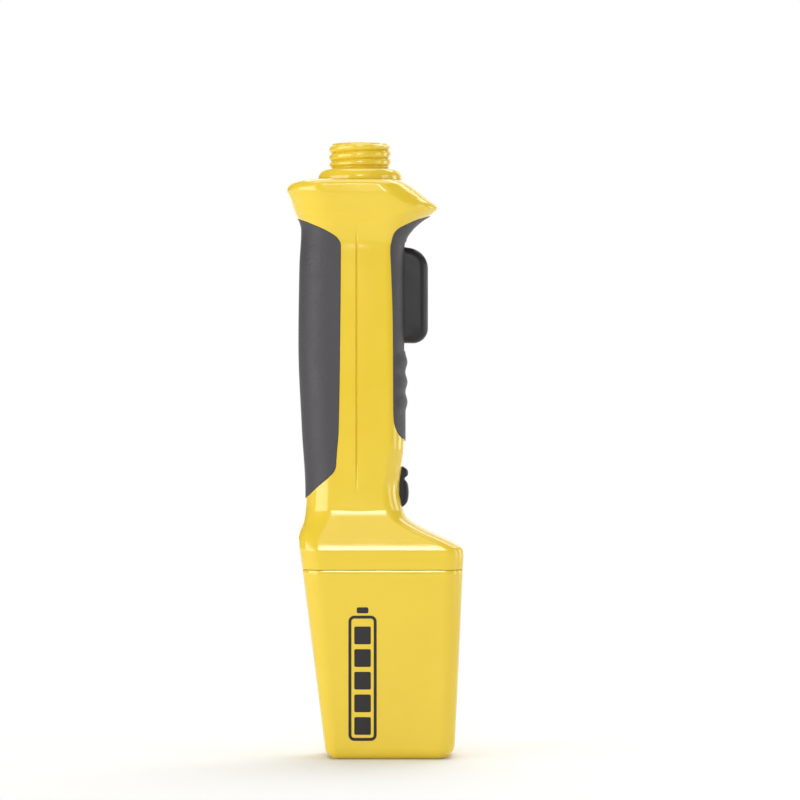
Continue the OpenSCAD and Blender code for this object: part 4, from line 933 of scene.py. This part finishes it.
# Left, right, low and high edge of the gauge's outline and of its tip
gauge = (-5.5, 8.5, 9.5, 71.5)
gauge_tip = (-1.4, 4.4, 72.6, 75.6)
gauge_round = 3.0
gauge_line = 1.5
tip_round = 0.9
bar_left = -2.6
bar_right = 5.6
bar_h = 8.8
bar_round = 0.8
bar_z = 12.5 + 11.2 * np.arange(5)


def on_tub_face(x, z):
    """Points on the label side of the tub, lifted by the ink."""
    return stack(x, -(tub_depth(z) + ink_lift), z)


def rounded_edge(x0, x1, z0, z1, radius, count=64):
    """Closed edge of a rounded rectangle: the four corner centres, each with its quarter of a circle."""
    angle = np.linspace(0, 2 * math.pi, count + 1) + math.pi / 4
    half_x = (x1 - x0) / 2 - radius
    half_z = (z1 - z0) / 2 - radius
    x = (x0 + x1) / 2 + half_x * np.sign(np.round(np.cos(angle), 9)) + radius * np.cos(angle)
    z = (z0 + z1) / 2 + half_z * np.sign(np.round(np.sin(angle), 9)) + radius * np.sin(angle)
    return x, z


def filled(x0, x1, z0, z1, radius):
    """Rings from the edge of a rounded rectangle that shrink to its middle point."""
    x, z = rounded_edge(x0, x1, z0, z1, radius)
    share = np.array([0, 0.5, 1])[:, None]
    return on_tub_face(mix(x, (x0 + x1) / 2, share), mix(z, (z0 + z1) / 2, share))


def framed(x0, x1, z0, z1, radius, width):
    """Band between the edge of a rounded rectangle and the same edge moved in."""
    x, z = rounded_edge(x0, x1, z0, z1, radius)
    inner_x, inner_z = rounded_edge(x0 + width, x1 - width, z0 + width, z1 - width, radius - width)
    share = np.array([0, 1])[:, None]
    return on_tub_face(mix(x, inner_x, share), mix(z, inner_z, share))


bars = [filled(bar_left, bar_right, low, low + bar_h, bar_round) for low in bar_z]
mark = [framed(*gauge, gauge_round, gauge_line), filled(*gauge_tip, tip_round)] + bars
make_piece("charge_mark", [(sheet, False, None) for sheet in mark], ink_black, "battery_pack", wall=ink_film)

# %% [markdown]
# ## Paths with round corners
# Trigger and slider are keys whose side view is a few straight runs with round corners. Each corner is
# given by its point and its radius, as on a drawing, and becomes an arc that touches both sides.

# %% Paths
def rounded_path(points, steps=10):
    """Open path with round corners: each corner (x, z, radius) becomes an arc that touches both sides."""
    spots = np.array([point[:2] for point in points], float)
    radii = [point[2] for point in points[1:-1]]
    share = np.linspace(0, 1, steps)[:, None]
    parts = [spots[:1]]
    for before, here, after, radius in zip(spots[:-2], spots[1:-1], spots[2:], radii):
        behind = (before - here) / np.linalg.norm(before - here)
        ahead = (after - here) / np.linalg.norm(after - here)
        half = math.acos(float(np.clip(behind @ ahead, -1, 1))) / 2
        middle = here + (behind + ahead) / np.linalg.norm(behind + ahead) * radius / math.sin(half)
        start = here + behind * radius / math.tan(half) - middle
        stop = here + ahead * radius / math.tan(half) - middle
        turn = math.pi - 2 * half
        arc = (start * np.sin(turn * (1 - share)) + stop * np.sin(turn * share)) / math.sin(turn)
        parts.append(middle + arc)
    return np.concatenate(parts + [spots[-1:]])


def spread_evenly(path, step):
    """The same path with extra points on its long straights."""
    length = np.concatenate([[0], np.cumsum(np.linalg.norm(np.diff(path, axis=0), axis=1))])
    at = np.union1d(length, np.arange(0, length[-1], step))
    return np.stack([np.interp(at, length, path[:, 0]), np.interp(at, length, path[:, 1])], -1)


corner = rounded_path([(0, 0, 0), (1, 0, 0.2), (1, 1, 0)])
print("points of a path with one corner:", len(corner))

# %% [markdown]
# ## Side view of the trigger
# The trigger is a long key that the fingers pull. In side view it is straight in front, with a large
# round at both ends. Each point also gets the direction out of the key, for rounding the long edges.
# Near the back that direction fades out, so the key ends flat in the window.

# %% Side view of the trigger
trigger_back = 16.5
trigger_front = trigger_high[0]
trigger_side = spread_evenly(rounded_path([
    (trigger_back, 206.5, 0), (trigger_front, 206.2, 7.5), (trigger_front, 252.5, 10.5),
    (trigger_back, 255.3, 0)], 26), 1.2)
along_path = np.gradient(trigger_side, axis=0)
outwards = np.stack([along_path[:, 1], -along_path[:, 0]], -1)
outwards /= np.linalg.norm(outwards, axis=1)[:, None]
outwards *= np.clip((trigger_side[:, :1] - trigger_back - 2) / 6, 0, 1)
print("points along the trigger:", len(trigger_side))

# %% [markdown]
# ## Trigger
# The side view is carried across the width and moved inwards near both sides by a quarter circle,
# which rounds the long edges as a finger needs. A back and two walls close the key, and a turned hub
# sits on the pivot pin, where the frame has the hinge.

# %% Trigger
half_w = trigger_high[1]
edge_r = 4.2
roll = np.radians(np.linspace(0, 90, 12))
flat_y = np.linspace(-(half_w - edge_r), half_w - edge_r, 9)[1:-1]
side_y = -(half_w - edge_r) - edge_r * np.cos(roll)
side_in = edge_r * (1 - np.sin(roll))
across_y = np.concatenate([side_y, flat_y, -side_y[::-1]])
inset = np.concatenate([side_in, np.zeros_like(flat_y), side_in[::-1]])
inset += 0.02 + 0.10 * (across_y / half_w) ** 2
moved = trigger_side[:, None] - outwards[:, None] * inset[:, None]
front = stack(moved[..., 0], across_y, moved[..., 1])
back_z = np.linspace(trigger_side[0, 1], trigger_side[-1, 1], len(trigger_side))[:, None]
back = stack(trigger_back, across_y[None, :], back_z)
share = np.array([0, 0.25, 0.5, 0.75, 0.9, 0.97])[None, :, None]
left_wall = mix(back[:, :1], front[:, :1], share)
right_wall = mix(back[:, -1:], front[:, -1:], share[:, ::-1])
around = np.concatenate([left_wall, front, right_wall], axis=1)
pin_x, _, pin_z = np.array(joints["trigger_pull"]["pos_m"]) / mm
hub_r = 4.0
pin_hole_r = 1.6
hub_edge = 0.3
hub_side = [(pin_hole_r, half_w), (hub_r - hub_edge, half_w), (hub_r, half_w - hub_edge)]
hub_profile = [(r, -y) for r, y in hub_side] + hub_side[::-1] + [(pin_hole_r, -half_w)]
hub_radius, hub_y = np.array(hub_profile).T[:, :, None]
hub = about_y((pin_x, pin_z), hub_radius, np.linspace(0, 2 * math.pi, 49), hub_y)
key = [(around, False, None), (back, True, None), (hub, True, None)]
make_piece("trigger_key", key, nylon_black, "trigger", ["trigger"])

# %% [markdown]
# ## Safety slider
# A thumb pushes this small key by the notch between its two humps. Its side view is a path of
# height over the seat, and across the width that height is scaled by a superellipse. So humps and
# notch keep their shape and fall off to both sides, as on a moulded key.

# %% Safety slider
seat_x = 19.55
slider_half = slider_high[1]
humps = spread_evenly(rounded_path([
    (seat_x, slider_low[2], 0), (21.4, slider_low[2], 3), (23.7, 126.7, 5), (24.6, 131, 16),
    (24, 136.6, 4.5), (21.95, 138.8, 1), (24.2, 140.4, 2.2), (24, 143.2, 2.6),
    (21.4, slider_high[2], 3.5), (seat_x, slider_high[2], 0)]), 0.5)
share_y = np.sin(np.linspace(-math.pi / 2, math.pi / 2, 41))
swell = (1 - np.abs(share_y) ** 5) ** 0.25
slider = stack(seat_x + (humps[:, :1] - seat_x) * swell, slider_half * share_y, humps[:, 1:])
plate = stack(seat_x, slider_half * share_y[None, :], humps[:, 1:])
make_piece("safety_slider_key", [(slider, False, None), (plate, True, None)], nylon_black, "safety",
           ["safety_slider"])

# %% [markdown]
# ## Finishes of the pieces inside
# The other solids already have the right shape, so they keep it and get a finish of their own. Some
# show: the studs in the neck and, with the pack off, the lid, blades and clips.

# %% Inside finishes
# Zinc plate: bright bluish grey metal, a little cloudy
zinc_steel = new_finish("zinc_plated_steel", ("a9adb0", "bfc3c6"), 1.5, (0.24, 0.36), 0.4, 0.004, metal=1.0)
finish_of_slot = {
    "abs_yellow": abs_yellow,
    "tpe_grey": tpe_grey,
    "black_nylon": nylon_black,
    "steel": zinc_steel,
    # Rolled brass: warm metal with soft rolling marks
    "brass": new_finish("rolled_brass", ("b8934a", "c9a65c"), 1.2, (0.22, 0.34), 0.5, 0.003, metal=1.0),
    # Acetal: off-white, slippery and satin
    "ivory_plastic": new_finish(
        "moulded_acetal_ivory", ("d8d2bd", "e0dac6"), 3, (0.30, 0.38), 0.5, 0.004, ior=1.48),
    # Glass-epoxy board: green mask over copper, with the weave just showing
    "board_green": new_finish(
        "solder_mask_green", ("12532f", "1a6b3c"), 2.5, (0.28, 0.40), 0.7, 0.01, ior=1.55),
    # Sintered ferrite: dark grey ceramic with a dry, pitted skin
    "ferrite": new_finish(
        "sintered_ferrite", ("3a3a3d", "47474a"), 2.0, (0.55, 0.70), 0.4, 0.02, grain="cells"),
    # Enamelled copper: reddish metal under a clear coat, in fine turns
    "copper": new_finish("enamelled_copper", ("a4592b", "bb6b36"), 0.8, (0.25, 0.38), 0.5, 0.03, metal=1.0),
    # Shrink sleeve: dark blue film over an aluminium can
    "capacitor_can": new_finish("shrink_sleeve_blue", ("22294f", "2b3360"), 4, (0.24, 0.34), 1.0, 0.006),
    # Wire insulation: soft red PVC
    "lead_red": new_finish("pvc_insulation_red", ("9c1f1a", "ad2a22"), 3, (0.34, 0.44), 0.6, 0.006),
    # Cell sleeve: green film over a steel can
    "cell_can": new_finish("shrink_sleeve_green", ("3f6b45", "4b7a51"), 5, (0.26, 0.36), 1.0, 0.006),
    # Polyethylene foam: grey, dry, with open cells
    "foam_grey": new_finish(
        "polyethylene_foam_grey", ("6a6a6c", "7c7c7e"), 1.2, (0.80, 0.92), 0.8, 0.12, grain="cells")}
for part in frame["record"]["subparts"]:
    solid = nodes[part["node"]]
    solid.data.materials.clear()
    solid.data.materials.append(finish_of_slot[part["material_slot"]])

# %% [markdown]
# ## Screw heads
# Seven pan-head screws for plastic hold the halves together. A head is a polar grid: the dome falls
# along a superellipse, and a cross is sunk into it by smooth steps of the distance to its two arms.
# Each head is turned a little differently, because a driver never leaves them all alike.

# %% Screw heads
head_r = 2.85
head_foot = screw_seat + 0.02
head_wall = screw_seat + 0.9
dome_foot = screw_seat + 1.0
dome_h = 1.15
dome_power = 2.6
cross_depth = 1.1
cross_half = 0.52
cross_reach = 1.8


def pan_head(spot, turn):
    """Height of the head by radius and angle: seat, wall and dome, less the cross."""
    ring = np.linspace(1, 0, 30)[:, None]
    angle = np.linspace(0, 2 * math.pi, 73)[None, :]
    radius = head_r * ring
    arm = radius * np.minimum(np.abs(np.cos(angle)), np.abs(np.sin(angle)))
    sink = cross_depth * ease((cross_half - arm) / 0.2) * ease((cross_reach - radius) / 0.6)
    dome = dome_foot + dome_h * (1 - ring ** dome_power) ** (1 / dome_power) - sink
    radius = np.concatenate([[[0.0], [head_r], [head_r]], radius])
    lower = np.broadcast_to([[head_foot], [head_foot], [head_wall]], (3, angle.size))
    height = np.concatenate([lower, dome])
    return about_y(spot, radius, angle + turn, height)


heads = [(pan_head(spot, 0.4 + 1.1 * i), True, None) for i, spot in enumerate(screw_spots)]
make_piece("pan_head_screws", heads, zinc_steel, "handle", ["case_screws"])

# %% [markdown]
# ## Floor
# A plain pale sheet of paper carries the shadow. Further out it turns to plain white for the camera
# and in reflections, so that it has no visible end, and a smooth step hides where it begins to.

# %% Floor
floor_reach = 6
floor_corners = [(-floor_reach, -floor_reach, 0), (floor_reach, -floor_reach, 0),
                 (floor_reach, floor_reach, 0), (-floor_reach, floor_reach, 0)]
floor_mesh = bpy.data.meshes.new("floor")
floor_mesh.from_pydata(floor_corners, [], [(0, 1, 2, 3)])
floor = bpy.data.objects.new("floor", floor_mesh)
bpy.context.scene.collection.objects.link(floor)
paper = bpy.data.materials.new("white_paper")
paper.use_nodes = True
tree = paper.node_tree
tree.nodes.clear()
place = add(tree, "ShaderNodeTexCoord").outputs["Object"]
away = add(tree, "ShaderNodeVectorMath", {0: place}, operation="LENGTH")
far_out = add(tree, "ShaderNodeMapRange", {
    "Value": away.outputs["Value"], "From Min": 0.2, "From Max": 0.9}, interpolation_type="SMOOTHSTEP")
ray = add(tree, "ShaderNodeLightPath").outputs
seen = add(tree, "ShaderNodeMath", {0: ray["Is Camera Ray"], 1: ray["Is Glossy Ray"]}, operation="MAXIMUM")
seen = add(tree, "ShaderNodeMath", {0: seen.outputs[0], 1: ray["Is Transmission Ray"]}, operation="MAXIMUM")
blend = add(tree, "ShaderNodeMath", {0: seen.outputs[0], 1: far_out.outputs["Result"]}, operation="MULTIPLY")
matt = add(tree, "ShaderNodeBsdfDiffuse", {"Color": linear("f4f4f2")})
white = add(tree, "ShaderNodeEmission", {"Color": (1, 1, 1, 1), "Strength": 1.0})
mixed = add(tree, "ShaderNodeMixShader", {0: blend.outputs[0], 1: matt.outputs[0], 2: white.outputs[0]})
add(tree, "ShaderNodeOutputMaterial", {"Surface": mixed.outputs[0]})
floor_mesh.materials.append(paper)
print("floor in m:", 2 * floor_reach)

# %% [markdown]
# ## World
# The world is white where the camera looks past the floor. For the object it is only a weak even
# light that fills the shadows, because a bright one would wash out the lamps' reflections.

# %% World
fill_light = 0.16
world = bpy.data.worlds.new("studio")
bpy.context.scene.world = world
world.use_nodes = True
tree = world.node_tree
tree.nodes.clear()
ray = add(tree, "ShaderNodeLightPath").outputs
seen = add(tree, "ShaderNodeMath", {0: ray["Is Camera Ray"], 1: ray["Is Transmission Ray"]},
           operation="MAXIMUM")
strength = add(tree, "ShaderNodeMapRange", {"Value": seen.outputs[0], "To Min": fill_light, "To Max": 1.0})
sky = add(tree, "ShaderNodeBackground", {"Color": (1, 1, 1, 1), "Strength": strength.outputs["Result"]})
add(tree, "ShaderNodeOutputWorld", {"Surface": sky.outputs[0]})
print("fill light:", fill_light)

# %% [markdown]
# ## Lamps
# Glossy plastic shows its lamps, so each soft panel stands where the photograph has a highlight. All
# are plain white rectangles that face the handle. Their power is low enough for a colour to come out
# about as it is written.

# %% Lamps
lamps = (
    # Broad panel at the left: long highlights on the palm side
    ("window_panel", (-1.18, -0.74, 0.30), (1.5, 0.56), 12.0),
    # Small panel at the right: the finger side and the tub's edge
    ("right_panel", (1.30, -0.40, 0.34), (0.5, 0.7), 3.4),
    # Strip behind and above: pale upper edges
    ("edge_strip", (0.35, 1.0, 1.35), (1.6, 0.5), 9.0),
    # Narrow strip in front: bright lines on the shoulder
    ("front_strip", (0.0, -1.65, 0.60), (0.46, 0.20), 5.8),
    # Weak panel in front and above: the face
    ("front_panel", (0.1, -1.45, 1.02), (1.1, 0.4), 2.0),
    # Square panel overhead: the soft shadow on the floor
    ("overhead", (0.0, 0.1, 1.9), (1.4, 1.4), 18.0),
    # Strip at the right, behind: the rim of the finger side
    ("rim_strip", (1.2, 0.45, 0.30), (0.4, 0.6), 3.0),
    # Broad panel behind: the far side
    ("back_panel", (0.2, 1.6, 0.6), (2.2, 1.2), 9.0))
target = np.array([0.01, 0.0, 0.16])
for name, place, size, power in lamps:
    lamp = bpy.data.lights.new(name, "AREA")
    lamp.shape = "RECTANGLE"
    lamp.size, lamp.size_y = size
    lamp.energy = power
    holder = bpy.data.objects.new(name, lamp)
    heading = (target - place) / np.linalg.norm(target - place)
    holder.location = place
    holder.rotation_euler = (math.acos(-heading[2]), 0, math.atan2(heading[1], heading[0]) - math.pi / 2)
    bpy.context.scene.collection.objects.link(holder)
bpy.context.scene.view_settings.view_transform = "Standard"
print("lamps:", [name for name, place, size, power in lamps])
